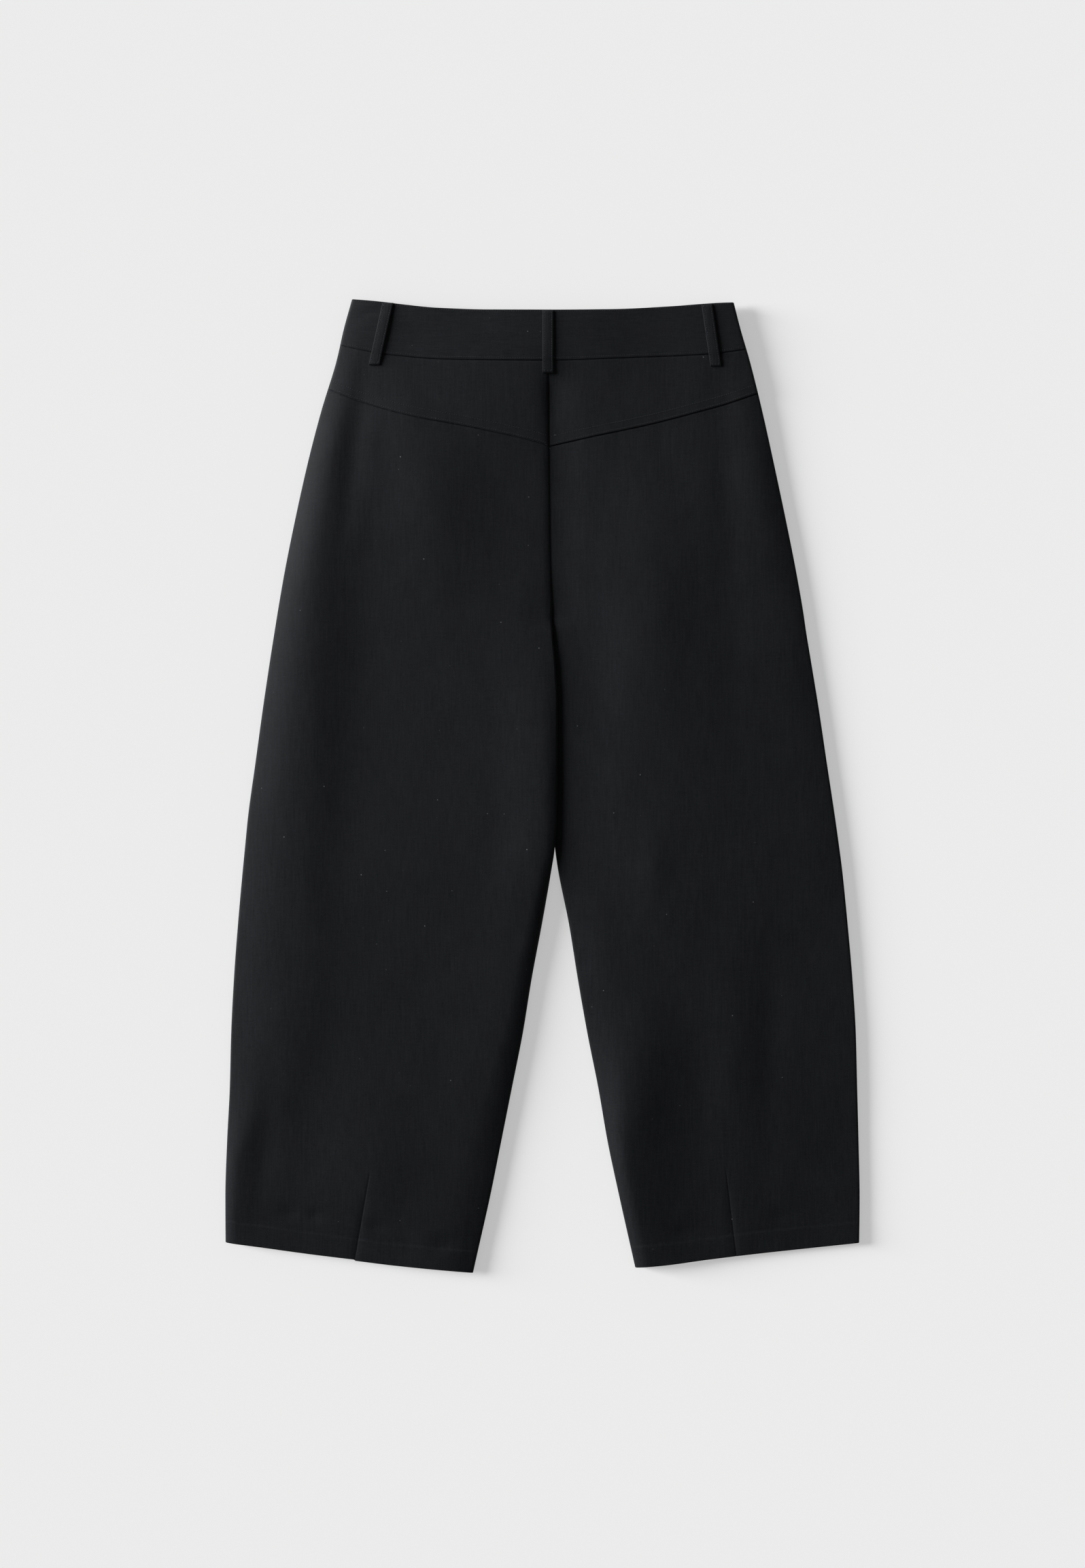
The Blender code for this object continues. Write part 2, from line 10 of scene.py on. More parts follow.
import bpy
import numpy as np
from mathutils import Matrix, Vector


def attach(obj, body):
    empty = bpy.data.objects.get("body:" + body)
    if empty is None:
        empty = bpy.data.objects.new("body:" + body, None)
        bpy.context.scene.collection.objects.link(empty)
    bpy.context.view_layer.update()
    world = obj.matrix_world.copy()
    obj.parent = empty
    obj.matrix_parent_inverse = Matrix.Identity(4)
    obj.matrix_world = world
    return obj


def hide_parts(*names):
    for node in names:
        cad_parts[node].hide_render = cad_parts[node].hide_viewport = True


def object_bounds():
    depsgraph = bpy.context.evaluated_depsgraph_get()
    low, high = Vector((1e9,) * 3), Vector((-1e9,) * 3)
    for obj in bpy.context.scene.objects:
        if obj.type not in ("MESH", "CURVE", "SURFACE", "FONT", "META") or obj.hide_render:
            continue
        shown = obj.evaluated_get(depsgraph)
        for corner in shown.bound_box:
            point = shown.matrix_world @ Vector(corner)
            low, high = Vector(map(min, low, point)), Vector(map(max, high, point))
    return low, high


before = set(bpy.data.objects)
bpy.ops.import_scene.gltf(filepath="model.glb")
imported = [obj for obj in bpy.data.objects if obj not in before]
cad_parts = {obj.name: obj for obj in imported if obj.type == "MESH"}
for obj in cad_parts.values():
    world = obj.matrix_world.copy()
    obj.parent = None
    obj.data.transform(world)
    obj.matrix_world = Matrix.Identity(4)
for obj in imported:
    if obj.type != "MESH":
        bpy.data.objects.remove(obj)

cad_low, cad_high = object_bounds()

# Driving sizes of the garment
LENGTH = cad_high.y - cad_low.y
CROTCH_DROP = 0.2961
SPLIT_DROP = 0.3154
PARTING_DROP = 0.5218
APART_DROP = 0.5850
CLOTH = 0.0007
BAND_CLOTH = 0.0009

# How the cloth lies
FRONT_REST = 0.0003
FRONT_WAVE = 0.0002
FOLD_HEIGHT = 0.0033
FOLD_TURN = 0.0022
TURN_RISE = 0.0020
ROLL_POWER = 2.2
LEFT_FADE = 0.032
RIGHT_FADE = 0.085
INNER_FADE = 0.040

# Where the left leg lies over the edge of the right leg
TUCK = 0.0006
TUCK_LENGTH = 0.016
OVERLAP_TURN = 0.0019
UNDER_FOLD = 0.0024
UNDER_TOP = 0.0052
OVER_LOW = 0.0060
OVER_FOLD = 0.0078
SINK_ABOVE = 0.050
SINK_BELOW = 0.045
SINK_LEFT = 0.030
SINK_LIP = 0.0022
OVER_RISE = 0.0024
RISE_SPREAD = 0.100
UNDER_SHELF = 0.008
UNDER_SLOPE = 0.070
OVER_SHELF = 0.012
OVER_SLOPE = 0.018
OVER_TOP_SLOPE = 0.055

# The broad valley along the centre back seam, whose bottom lies just right of the seam
VALLEY_DEPTH = 0.0032
VALLEY_DROP = 0.145
VALLEY_LENGTH = 0.110
VALLEY_LEFT = -0.080
VALLEY_BOTTOM = 0.026
VALLEY_RIGHT = 0.240

# Seams and turned edges
LAP = 0.0008
BAND_LAP = 0.0013
LAP_ROUND = 0.0006
LAP_BLEND = 0.003
DIP = 0.0006
DIP_WIDTH = 0.0018
SEAM_DEPTH = 0.0020
SEAM_ROLL = 0.0080
SEAM_RISE_WIDTH = 0.035
SEAM_TOP = 0.055
SEAM_FULL = 0.085
FRONT_SEAM_ROUND = 0.0007
EDGE_RADIUS = 0.0009
HEM_DEPTH = 0.0200
HEM_STEP = 0.00020
HEM_RIDGE = 0.00016
HEM_RIDGE_WIDTH = 0.0008
HEM_ECHO = 0.6
HEM_ECHO_UP = 0.0022
HEM_CATCH = 0.007
PUCKER = 0.00010
PUCKER_REACH = 0.006
PUCKER_LENGTH = 0.0055

# Waist, fly and belt loops
FRONT_WAIST_DIP = 0.020
FRONT_WAIST_INSET = 0.0015
FRONT_HEM_INSET = 0.0012
WAIST_HALF_WIDTH = 0.185
LOOP_WIDTH = 0.0103
LOOP_THICK = 0.0014
FRONT_LOOP_STAND = 0.0006
LOOP_HANG = 0.0125
LOOP_INSET = 0.0006
LOOP_CORNER = 0.0005
LOOP_TACKED = 0.012
LOOP_PINCHED = 0.35
BAND_LIFT = 0.0022
BAND_LIFT_FULL = 0.050
BAND_LIFT_END = 0.200
FRONT_LOOP_X = 0.088
FRONT_LOOP_SPREAD = 1.06
FLY_TOP = 0.003
FLY_LENGTH = 0.165
FLY_STITCH_WIDTH = 0.034
FLY_EDGE = 0.002
FLY_TURN = 0.045
FLY_BELOW_ZIP = 0.008
ZIP_WIDTH = 0.024
SHIELD_WIDTH = 0.040
LAYER_GAP = 0.0003
ZIP_CLOTH = 0.0006
SHIELD_STAND = 0.0026
TOOTH_WIDTH = 0.0042
TOOTH_LENGTH = 0.0010
TOOTH_HEIGHT = 0.0006
TOOTH_PITCH = 0.0013
SLIDER_WIDTH = 0.0075
SLIDER_LENGTH = 0.0095
SLIDER_HEIGHT = 0.0007
SLIDER_EDGE = 0.0002
PULL_WIDTH = 0.0040
PULL_LENGTH = 0.0200
PULL_HEIGHT = 0.0002
PULL_GAP = 0.0001
PULL_EDGE = 0.00006

# The darts that draw in each back hem
DART_LENGTH = 0.085
DART_DEPTH = 0.0005
DART_HALF_WIDTH = 0.0035
DART_GROOVE = 0.0003
DART_GROOVE_WIDTH = 0.0006
DART_STEP = 0.0010
DART_COLUMNS = (0.006, 0.004, 0.0026, 0.0016, 0.0009, 0.0004)

# Side seam that has rolled onto the back near the left hem
ROLLED_SEAM_IN = 0.0032
ROLLED_SEAM_TOP = 0.66
ROLLED_SEAM_DEPTH = 0.0003
ROLLED_SEAM_WIDTH = 0.0007

# Sewing thread
STITCH_PITCH = 0.0022
STITCH_LENGTH = 0.0016
STITCH_RADIUS = 0.00021
STITCH_SLANT = 0.35
STITCH_SIDES = 6
STITCH_LIFT = 0.2
STITCH_SINK = 0.8
BAND_STITCH_UP = 0.0023
BAND_STITCH_REACH = 0.187
WAIST_STITCH_DOWN = 0.0014
WAIST_STITCH_REACH = 0.177
YOKE_STITCH_IN = 0.002
YOKE_STITCH_END = 0.003
YOKE_STITCHES_UP = (0.0020, 0.0088)
LOOP_STITCH_IN = 0.0017
TACK_ROWS = (0.030, 0.046)

# Spacing of the meshes
FINE = 0.0030
COARSE = 0.0055
TURN_STEPS = 6
EDGE_STEPS = 6
FLAT_COLUMNS = (0.0, 0.00012, 0.00035, 0.0007, 0.0011, 0.0018, 0.0030)

# Each section gives where the side folds and the inner edges lie across the garment
Section = namedtuple("Section", "drop left_side left_inner right_inner right_side")
SECTIONS = (
    Section(0.0000, -0.1806, 0.0055, 0.0055, 0.1806),
    Section(0.0277, -0.1883, 0.0055, 0.0055, 0.1877),
    Section(0.0587, -0.1954, 0.0055, 0.0055, 0.1967),
    Section(0.1051, -0.2096, 0.0058, 0.0058, 0.2083),
    Section(0.1542, -0.2225, 0.0063, 0.0063, 0.2193),
    Section(0.2058, -0.2341, 0.0070, 0.0070, 0.2303),
    Section(0.2574, -0.2445, 0.0079, 0.0079, 0.2406),
    Section(0.2961, -0.2512, 0.0088, 0.0088, 0.2474),
    Section(0.3154, -0.2543, 0.0093, 0.0093, 0.2502),
    Section(0.3400, -0.2582, 0.0118, 0.0070, 0.2543),
    Section(0.3864, -0.2651, 0.0142, 0.0042, 0.2619),
    Section(0.4380, -0.2722, 0.0142, 0.0042, 0.2696),
    Section(0.4896, -0.2793, 0.0135, 0.0082, 0.2774),
    Section(0.5218, -0.2825, 0.0114, 0.0120, 0.2819),
    Section(0.5412, -0.2844, 0.0084, 0.0148, 0.2844),
    Section(0.5928, -0.2890, -0.0006, 0.0252, 0.2896),
    Section(0.6444, -0.2928, -0.0103, 0.0335, 0.2941),
    Section(0.6960, -0.2954, -0.0187, 0.0426, 0.2973),
    Section(0.7476, -0.2967, -0.0290, 0.0529, 0.2986),
    Section(0.7992, -0.2993, -0.0393, 0.0619, 0.2999),
    Section(0.8508, -0.3009, -0.0497, 0.0729, 0.3009),
    Section(0.9024, -0.3006, -0.0613, 0.0845, 0.3003),
    Section(0.9224, -0.3003, -0.0658, 0.0890, 0.2998),
)

# Each edge or seam runs across the garment through a few places
Place = namedtuple("Place", "x drop")
WAIST_EDGE = (
    Place(-0.1806, 0.0000), Place(-0.1535, 0.0026), Place(-0.1277, 0.0058),
    Place(-0.1019, 0.0084), Place(-0.0503, 0.0102), Place(0.0055, 0.0103),
    Place(0.0658, 0.0097), Place(0.1174, 0.0071), Place(0.1690, 0.0034),
    Place(0.1806, 0.0030),
)
BAND_SEAM = (
    Place(-0.1916, 0.0439), Place(-0.1645, 0.0497), Place(-0.1393, 0.0535),
    Place(-0.0929, 0.0572), Place(-0.0039, 0.0581), Place(0.0871, 0.0552),
    Place(0.1580, 0.0519), Place(0.1941, 0.0471),
)
LEFT_YOKE_SEAM = (
    Place(-0.2032, 0.0851), Place(-0.1687, 0.0984), Place(-0.1258, 0.1105),
    Place(-0.0651, 0.1219), Place(-0.0041, 0.1354), Place(0.0070, 0.1390),
)
RIGHT_YOKE_SEAM = (
    Place(0.0070, 0.1390), Place(0.0458, 0.1303), Place(0.1036, 0.1180),
    Place(0.1445, 0.1074), Place(0.1742, 0.0991), Place(0.2038, 0.0890),
)
LEFT_HEM = (
    Place(-0.3000, 0.8946), Place(-0.2657, 0.8992), Place(-0.2244, 0.9049),
    Place(-0.1780, 0.9106), Place(-0.1393, 0.9153), Place(-0.0658, 0.9224),
)
RIGHT_HEM = (
    Place(0.0884, 0.9178), Place(0.1174, 0.9153), Place(0.1574, 0.9101),
    Place(0.2019, 0.9049), Place(0.2503, 0.8998), Place(0.2998, 0.8946),
)

# Where each dart meets the hem, and the point that it is sewn up to
Dart = namedtuple("Dart", "hem_x point_x")
LEFT_DART = Dart(-0.1780, -0.1632)
RIGHT_DART = Dart(0.1838, 0.1735)

# The belt loops of the back, from the waist down
Loop = namedtuple("Loop", "name top_x bottom_x stand")
BACK_LOOPS = (
    Loop("centre", 0.0052, 0.0052, 0.0004),
    Loop("left", -0.1463, -0.1594, 0.0010),
    Loop("right", 0.1555, 0.1642, 0.0007),
)

# How high the middle of the back lies, and how its folded edges roll: how wide each roll is, and
# how far its crest lies above the middle
Loft = namedtuple("Loft", "drop middle left_crest left_roll right_crest right_roll "
                          "left_inner_crest left_inner_roll right_inner_crest right_inner_roll")
LOFTS = (
    Loft(0.00, 0.0090, 0.0000, 0.026, -0.0010, 0.028, 0.0000, 0.006, 0.0000, 0.006),
    Loft(0.06, 0.0096, 0.0006, 0.026, -0.0014, 0.028, 0.0000, 0.006, 0.0000, 0.006),
    Loft(0.14, 0.0106, 0.0026, 0.026, -0.0018, 0.028, 0.0000, 0.006, 0.0000, 0.006),
    Loft(0.20, 0.0108, 0.0040, 0.029, -0.0020, 0.030, 0.0000, 0.006, 0.0000, 0.006),
    Loft(0.29, 0.0103, 0.0042, 0.035, -0.0022, 0.032, 0.0000, 0.008, 0.0000, 0.016),
    Loft(0.39, 0.0096, 0.0044, 0.043, -0.0024, 0.034, 0.0008, 0.014, -0.0010, 0.030),
    Loft(0.54, 0.0092, 0.0038, 0.055, -0.0028, 0.036, 0.0014, 0.012, -0.0012, 0.040),
    Loft(0.66, 0.0088, 0.0030, 0.064, -0.0034, 0.036, 0.0014, 0.018, 0.0010, 0.042),
    Loft(0.75, 0.0084, 0.0022, 0.040, -0.0034, 0.034, 0.0014, 0.026, 0.0038, 0.026),
    Loft(0.82, 0.0080, 0.0014, 0.013, -0.0030, 0.032, 0.0012, 0.034, 0.0040, 0.016),
    Loft(0.93, 0.0072, 0.0010, 0.010, -0.0020, 0.028, 0.0008, 0.036, 0.0030, 0.014),
)

# Broad soft folds: a ridge has a height above zero, and a trough below
Fold = namedtuple("Fold", "x drop length width lean height")
FOLDS = (
    Fold(-0.0200, 0.050, 0.100, 0.120, 0, 0.0036),
    Fold(-0.1800, 0.150, 0.075, 0.012, 8, -0.0018),
    Fold(-0.1080, 0.185, 0.095, 0.044, -8, 0.0044),
    Fold(-0.1300, 0.105, 0.030, 0.018, 0, 0.0010),
    Fold(0.0270, 0.150, 0.100, 0.020, 0, -0.0009),
    Fold(0.0360, 0.340, 0.095, 0.030, -2, -0.0026),
    Fold(0.0090, 0.100, 0.032, 0.012, 0, -0.0014),
    Fold(0.1080, 0.290, 0.100, 0.030, -4, 0.0026),
    Fold(0.1750, 0.200, 0.140, 0.016, -3, -0.0013),
    Fold(0.1060, 0.535, 0.030, 0.012, 0, 0.0009),
    Fold(0.0830, 0.765, 0.090, 0.028, 8, 0.0024),
    Fold(0.1790, 0.715, 0.080, 0.022, 0, 0.0018),
    Fold(0.1480, 0.820, 0.075, 0.030, 0, -0.0014),
    Fold(0.2170, 0.705, 0.085, 0.014, 0, -0.0011),
    Fold(-0.1600, 0.810, 0.075, 0.055, -8, 0.0026),
    Fold(-0.2640, 0.805, 0.060, 0.013, 5, -0.0014),
    Fold(-0.2400, 0.8655, 0.006, 0.010, 0, -0.0007),
    Fold(-0.2150, 0.8680, 0.006, 0.008, 0, -0.0008),
    Fold(-0.1570, 0.8790, 0.007, 0.009, 0, -0.0007),
    Fold(-0.0930, 0.8940, 0.008, 0.012, 0, -0.0009),
    Fold(0.1350, 0.8830, 0.007, 0.014, 0, -0.0006),
    Fold(0.2250, 0.8700, 0.007, 0.012, 0, -0.0005),
    Fold(-0.1640, 0.0125, 0.003, 0.013, 0, -0.0006),
    Fold(-0.1720, 0.0175, 0.003, 0.007, 0, -0.0004),
)

# The back's unevenness and the fine one, each with a size and a height
SWELL_SIZE = 0.055
SWELL_HEIGHT = 0.00045
RIPPLE_SIZE = 0.019
RIPPLE_HEIGHT = 0.00010

Half = namedtuple("Half", "name side inner away yoke_seam hem dart fade "
                          "crest roll inner_crest inner_roll")


# Curves and how the cloth lies

def curve(table, across, upward):
    """A smooth function through two named columns of a table, level past its ends."""
    xs = np.array([getattr(row, across) for row in table])
    ys = np.array([getattr(row, upward) for row in table])
    steps = np.diff(ys) / np.diff(xs)
    before, after = steps[:-1], steps[1:]
    mixed = before * after > 0
    total = np.where(mixed, before + after, 1.0)
    slopes = np.r_[steps[0], np.where(mixed, 2 * before * after / total, 0.0), steps[-1]]

    def value(where):
        x = np.clip(where, xs[0], xs[-1])
        i = np.clip(np.searchsorted(xs, x, side="right") - 1, 0, len(xs) - 2)
        span = xs[i + 1] - xs[i]
        t = (x - xs[i]) / span
        start = ys[i] * (1 + 2 * t) * (1 - t) ** 2 + span * slopes[i] * t * (1 - t) ** 2
        end = ys[i + 1] * t * t * (3 - 2 * t) - span * slopes[i + 1] * t * t * (1 - t)
        return start + end

    return value


def stepped_hem(table, dart):
    """A hem whose edge steps down across its dart."""
    edge = curve(table, "x", "drop")
    return lambda x: edge(x) + DART_STEP * (ramp(x, dart.hem_x - 0.0006, dart.hem_x + 0.0006) - 0.5)


def tucked(inner):
    """The right inner edge, a little way under the left one where the halves part."""
    middle = (CROTCH_DROP + SPLIT_DROP) / 2
    return lambda drop: inner(drop) - TUCK * hump(drop - middle, TUCK_LENGTH)


waist_edge = curve(WAIST_EDGE, "x", "drop")
band_seam = curve(BAND_SEAM, "x", "drop")
middle_height = curve(LOFTS, "drop", "middle")


def half_of(name, away, inner, yoke_seam, hem, dart, fade):
    """One half of the garment, with its columns of the tables as functions of the drop."""
    side = curve(SECTIONS, "drop", f"{name}_side")
    lofts = [curve(LOFTS, "drop", f"{name}_{field}") for field in Half._fields[-4:]]
    return Half(name, side, inner, away, curve(yoke_seam, "x", "drop"), hem, dart, fade, *lofts)


LEFT = half_of(
    "left", -1, curve(SECTIONS, "drop", "left_inner"), LEFT_YOKE_SEAM,
    stepped_hem(LEFT_HEM, LEFT_DART), LEFT_DART, LEFT_FADE)
RIGHT = half_of(
    "right", 1, tucked(curve(SECTIONS, "drop", "right_inner")), RIGHT_YOKE_SEAM,
    curve(RIGHT_HEM, "x", "drop"), RIGHT_DART, RIGHT_FADE)


def between(start, end, share):
    return start + (end - start) * share


def ramp(value, start, end):
    """0 before start and 1 past end, with a soft beginning and end."""
    t = np.clip((value - start) / (end - start), 0.0, 1.0)
    return t * t * (3 - 2 * t)


def hump(value, width):
    return np.exp(-(value / width) ** 2)


def lattice_noise(x, y, size, seed):
    """Smooth unevenness from -1 to 1, the same in each run, whose swells are about size wide."""
    across, down = np.asarray(x) / size + 64, np.asarray(y) / size + 64
    values = np.random.default_rng(seed).uniform(-1, 1, (512, 512))
    i, j = np.floor(across).astype(int), np.floor(down).astype(int)
    u, v = ramp(across - i, 0, 1), ramp(down - j, 0, 1)
    top = between(values[i % 512, j % 512], values[(i + 1) % 512, j % 512], u)
    bottom = between(values[i % 512, (j + 1) % 512], values[(i + 1) % 512, (j + 1) % 512], u)
    return between(top, bottom, v)


def from_side(half, x, drop):
    return half.away * (half.side(drop) - x)


def from_inner(half, x, drop):
    return half.away * (x - half.inner(drop))


def overlap(drop):
    """1 where the left leg lies over the right one, and 0 where it doesn't."""
    return ramp(drop, CROTCH_DROP, SPLIT_DROP) - ramp(drop, PARTING_DROP, APART_DROP)


def sinking(drop):
    """How far the right leg's inner edge has sunk, from above the crotch to where the legs part."""
    sunk = ramp(drop, CROTCH_DROP - SINK_ABOVE, CROTCH_DROP + SINK_BELOW)
    return sunk - ramp(drop, PARTING_DROP, APART_DROP)


def closed(drop):
    """0 where the halves are sewn together, and 1 where each leg has its own inner fold."""
    return ramp(drop, CROTCH_DROP, SPLIT_DROP)


def band_lift(drop):
    """The front loops hold the front waistband a little off the floor."""
    return BAND_LIFT * (1 - ramp(drop, BAND_LIFT_FULL, BAND_LIFT_END))


def fold_relief(x, drop):
    total = np.zeros(np.broadcast(x, drop).shape)
    for fold in FOLDS:
        lean = radians(fold.lean)
        right, down = x - fold.x, drop - fold.drop
        along = down * np.cos(lean) - right * np.sin(lean)
        across = right * np.cos(lean) + down * np.sin(lean)
        total += fold.height * hump(along, fold.length) * hump(across, fold.width)
    return total


def valley(x, drop):
    """How far the seat sinks along the centre back seam."""
    right = x - LEFT.inner(drop)
    sunk = ramp(right, VALLEY_LEFT, VALLEY_BOTTOM) - ramp(right, VALLEY_BOTTOM, VALLEY_RIGHT)
    return VALLEY_DEPTH * sunk * hump(drop - VALLEY_DROP, VALLEY_LENGTH)


def resting_top(half, x, drop):
    """Height of the back's outer face away from its folded edges."""
    side = from_side(half, x, drop)
    inner = from_inner(half, x, drop)
    rim = half.crest(drop) * hump(np.maximum(side - half.roll(drop), 0.0), half.fade)
    inner_rim = half.inner_crest(drop) * hump(np.maximum(inner - half.inner_roll(drop), 0.0), INNER_FADE)
    top = middle_height(drop) + rim + closed(drop) * inner_rim + fold_relief(x, drop) - valley(x, drop)
    top = top + SWELL_HEIGHT * lattice_noise(x, 0.6 * drop, SWELL_SIZE, 3)
    top = top + RIPPLE_HEIGHT * lattice_noise(x, 0.7 * drop, RIPPLE_SIZE, 4)
    if half is LEFT:
        rise = OVER_RISE * ramp(drop, CROTCH_DROP, CROTCH_DROP + RISE_SPREAD)
        top = top + rise * overlap(drop) * (1 - ramp(inner, OVER_SHELF, OVER_SHELF + OVER_TOP_SLOPE))
        sunk = (1 - closed(drop)) * sinking(drop) * (1 - ramp(inner, 0.0, SINK_LEFT))
        return between(top, UNDER_TOP + SINK_LIP, sunk)
    slope = UNDER_TOP + (top - UNDER_TOP) * ramp(inner, UNDER_SHELF, UNDER_SHELF + UNDER_SLOPE)
    return between(top, slope, sinking(drop))


def inner_fold(half, drop):
    flat = OVER_FOLD if half is LEFT else UNDER_FOLD
    return between(FOLD_HEIGHT, flat, overlap(drop))


def rolled(target, fold, distance, climb, roll):
    """The back's height near a folded edge: a tight turn, and then a gentle rise."""
    turn = np.minimum(TURN_RISE, target - fold)
    rise = 1 - (1 - np.minimum(distance / roll, 1.0)) ** ROLL_POWER
    return fold + climb * turn + (target - fold - turn) * rise


def lying_height(half, x, drop, climb):
    """Height of the back but for its seams. Climb runs from 0 on a folded edge to 1 past its turn."""
    target = resting_top(half, x, drop)
    side = from_side(half, x, drop)
    inner = from_inner(half, x, drop)
    outer = rolled(target, band_lift(drop) + FOLD_HEIGHT, np.maximum(side, 0.0), climb, half.roll(drop))
    edge = rolled(target, inner_fold(half, drop), np.maximum(inner, 0.0), climb, half.inner_roll(drop))
    return np.where(side < inner, outer, between(target, edge, closed(drop)))


def round_off(distance, radius):
    """How far a rounded edge has sunk at a distance from its end."""
    return radius * (1 - np.sqrt(1 - (1 - np.clip(distance / radius, 0.0, 1.0)) ** 2))


def back_height(half, x, drop, climb):
    """The left half rounds down into the centre seam, and the right half rises slowly from its foot."""
    inner = from_inner(half, x, drop)
    if half is LEFT:
        sunk = round_off(inner, SEAM_ROLL) / SEAM_ROLL
    else:
        sunk = 1 - ramp(inner, 0, SEAM_RISE_WIDTH)
    sewn = ramp(drop, SEAM_TOP, SEAM_FULL) * (1 - closed(drop))
    return lying_height(half, x, drop, climb) - sewn * SEAM_DEPTH * sunk


def front_height(half, x, drop, climb):
    """Height of the front's cloth, which rests on the floor but where it is held off it."""
    side = from_side(half, x, drop)
    inner = from_inner(half, x, drop)
    low = FRONT_REST + band_lift(drop) + FRONT_WAVE * (1 + lattice_noise(x, drop, SWELL_SIZE, 9))
    if half is LEFT:
        carried = overlap(drop) * (1 - ramp(inner, OVER_SHELF, OVER_SHELF + OVER_SLOPE))
        low = between(low, OVER_LOW, carried)
    fold = band_lift(drop) + FOLD_HEIGHT
    outer = fold - climb * (fold - low)
    fold = inner_fold(half, drop)
    sewn = low + round_off(inner, FRONT_SEAM_ROUND)
    edge = between(sewn, fold - climb * (fold - low), closed(drop))
    return np.where(side < inner, outer, edge)


# Details of the sewn panels

def dart_line(half, drop):
    """Where the dart lies across the leg, or above its point where it would carry on."""
    hem = float(half.hem(half.dart.hem_x))
    point = hem - DART_LENGTH
    sewn = between(half.dart.hem_x, half.dart.point_x, (hem - drop) / DART_LENGTH)
    side, inner = half.side(point), half.inner(point)
    share = (half.dart.point_x - side) / (inner - side)
    above = between(half.side(drop), half.inner(drop), share)
    return np.where(drop >= point, sewn, above)


def dart_relief(half, x, drop):
    """The groove of the dart, deepest at the hem."""
    point = half.hem(half.dart.hem_x) - DART_LENGTH
    away = x - dart_line(half, drop)
    soft = DART_DEPTH * ramp(drop, point, point + DART_LENGTH / 2) * hump(away, DART_HALF_WIDTH)
    sharp = DART_GROOVE * ramp(drop, point, point + 0.006) * hump(away, DART_GROOVE_WIDTH)
    return -soft - sharp


def hem_relief(x, above):
    """The turned-up hem: a slight step with a ridge of blind stitches along its top."""
    caught = 0.55 + 0.45 * lattice_noise(x, above * 0, HEM_CATCH, 6)
    echo = HEM_ECHO * hump(above - HEM_DEPTH - HEM_ECHO_UP, HEM_RIDGE_WIDTH)
    ridge = hump(above - HEM_DEPTH, HEM_RIDGE_WIDTH) - echo
    return HEM_STEP * (1 - ramp(above, HEM_DEPTH - 0.0012, HEM_DEPTH + 0.0006)) + HEM_RIDGE * caught * ridge


def pucker(x, above):
    """Small ripples that the topstitching draws into the cloth beside a seam."""
    return PUCKER * lattice_noise(x, above * 0, PUCKER_LENGTH, 5) * hump(above, PUCKER_REACH)


def leg_back(half):
    def height(x, drop, climb):
        below = drop - half.yoke_seam(x)
        above = half.hem(x) - drop
        top = back_height(half, x, drop, climb) + climb * dart_relief(half, x, drop)
        top = top + climb * (hem_relief(x, above) + pucker(x, below))
        if half is LEFT:
            seam = ramp(drop, ROLLED_SEAM_TOP, ROLLED_SEAM_TOP + 0.05) * ROLLED_SEAM_DEPTH
            top = top - seam * hump(from_side(half, x, drop) - ROLLED_SEAM_IN, ROLLED_SEAM_WIDTH)
        return top - climb * DIP * (1 - ramp(below, 0.0, DIP_WIDTH))
    return height


def yoke_back(half):
    def height(x, drop, climb):
        above, below = half.yoke_seam(x) - drop, drop - band_seam(x)
        top = back_height(half, x, drop, climb) + climb * (LAP + pucker(x, above))
        return top - climb * (round_off(above, LAP_ROUND) + DIP * (1 - ramp(below, 0.0, DIP_WIDTH)))
    return height


def band_back(x, drop, climb):
    """The back waistband is one piece over both halves, so no seam sinks at its middle."""
    above = band_seam(x) - drop
    raised = BAND_LAP + pucker(x, above) - round_off(above, LAP_ROUND)
    return whole_back(x, drop, climb) + climb * raised


def whole_back(x, drop, climb):
    left = x < LEFT.inner(drop)
    return np.where(left, lying_height(LEFT, x, drop, climb), lying_height(RIGHT, x, drop, climb))


def leg_front(half):
    def height(x, drop, climb):
        above, below = half.hem(x) - drop, drop - front_seam(x)
        low = front_height(half, x, drop, climb)
        return low + climb * (DIP * (1 - ramp(below, 0.0, DIP_WIDTH)) - 0.5 * hem_relief(x, above))
    return height


def band_front(half):
    def height(x, drop, climb):
        low = front_height(half, x, drop, climb)
        return low + climb * (round_off(front_seam(x) - drop, LAP_ROUND) - LAP / 2)
    return height


def front_waist(x):
    """The front waist dips to its centre, so the back hides it from above."""
    share = np.minimum(np.abs(x) / WAIST_HALF_WIDTH, 1.0)
    return waist_edge(x) + FRONT_WAIST_INSET + FRONT_WAIST_DIP * (1 - share * share)


def front_seam(x):
    share = np.minimum(np.abs(x) / WAIST_HALF_WIDTH, 1.0)
    return band_seam(x) + FRONT_WAIST_DIP * (1 - share * share)


# Grids of points, in rows down the garment and columns across it

def inside(start, end, count):
    """Places evenly spaced between two others, without them."""
    return [between(start, end, (step + 1) / (count + 1)) for step in range(count)]


def rows_down(upper, lower, first, count, last):
    """A panel's rows: fixed distances below its top, even ones, and fixed ones above its end."""
    shares = np.r_[np.zeros(len(first)), inside(0.0, 1.0, count), np.ones(len(last))][:, None]
    offsets = np.r_[first, inside(first[-1], -last[0], count), -np.array(last)][:, None]
    return lambda x: between(upper(x), lower(x), shares) + offsets


def crossing(edge, drop_at):
    """Where rows meet an edge that itself slopes."""
    x = edge(drop_at(edge(0.0)))
    for _ in range(8):
        x = edge(drop_at(x))
    return x


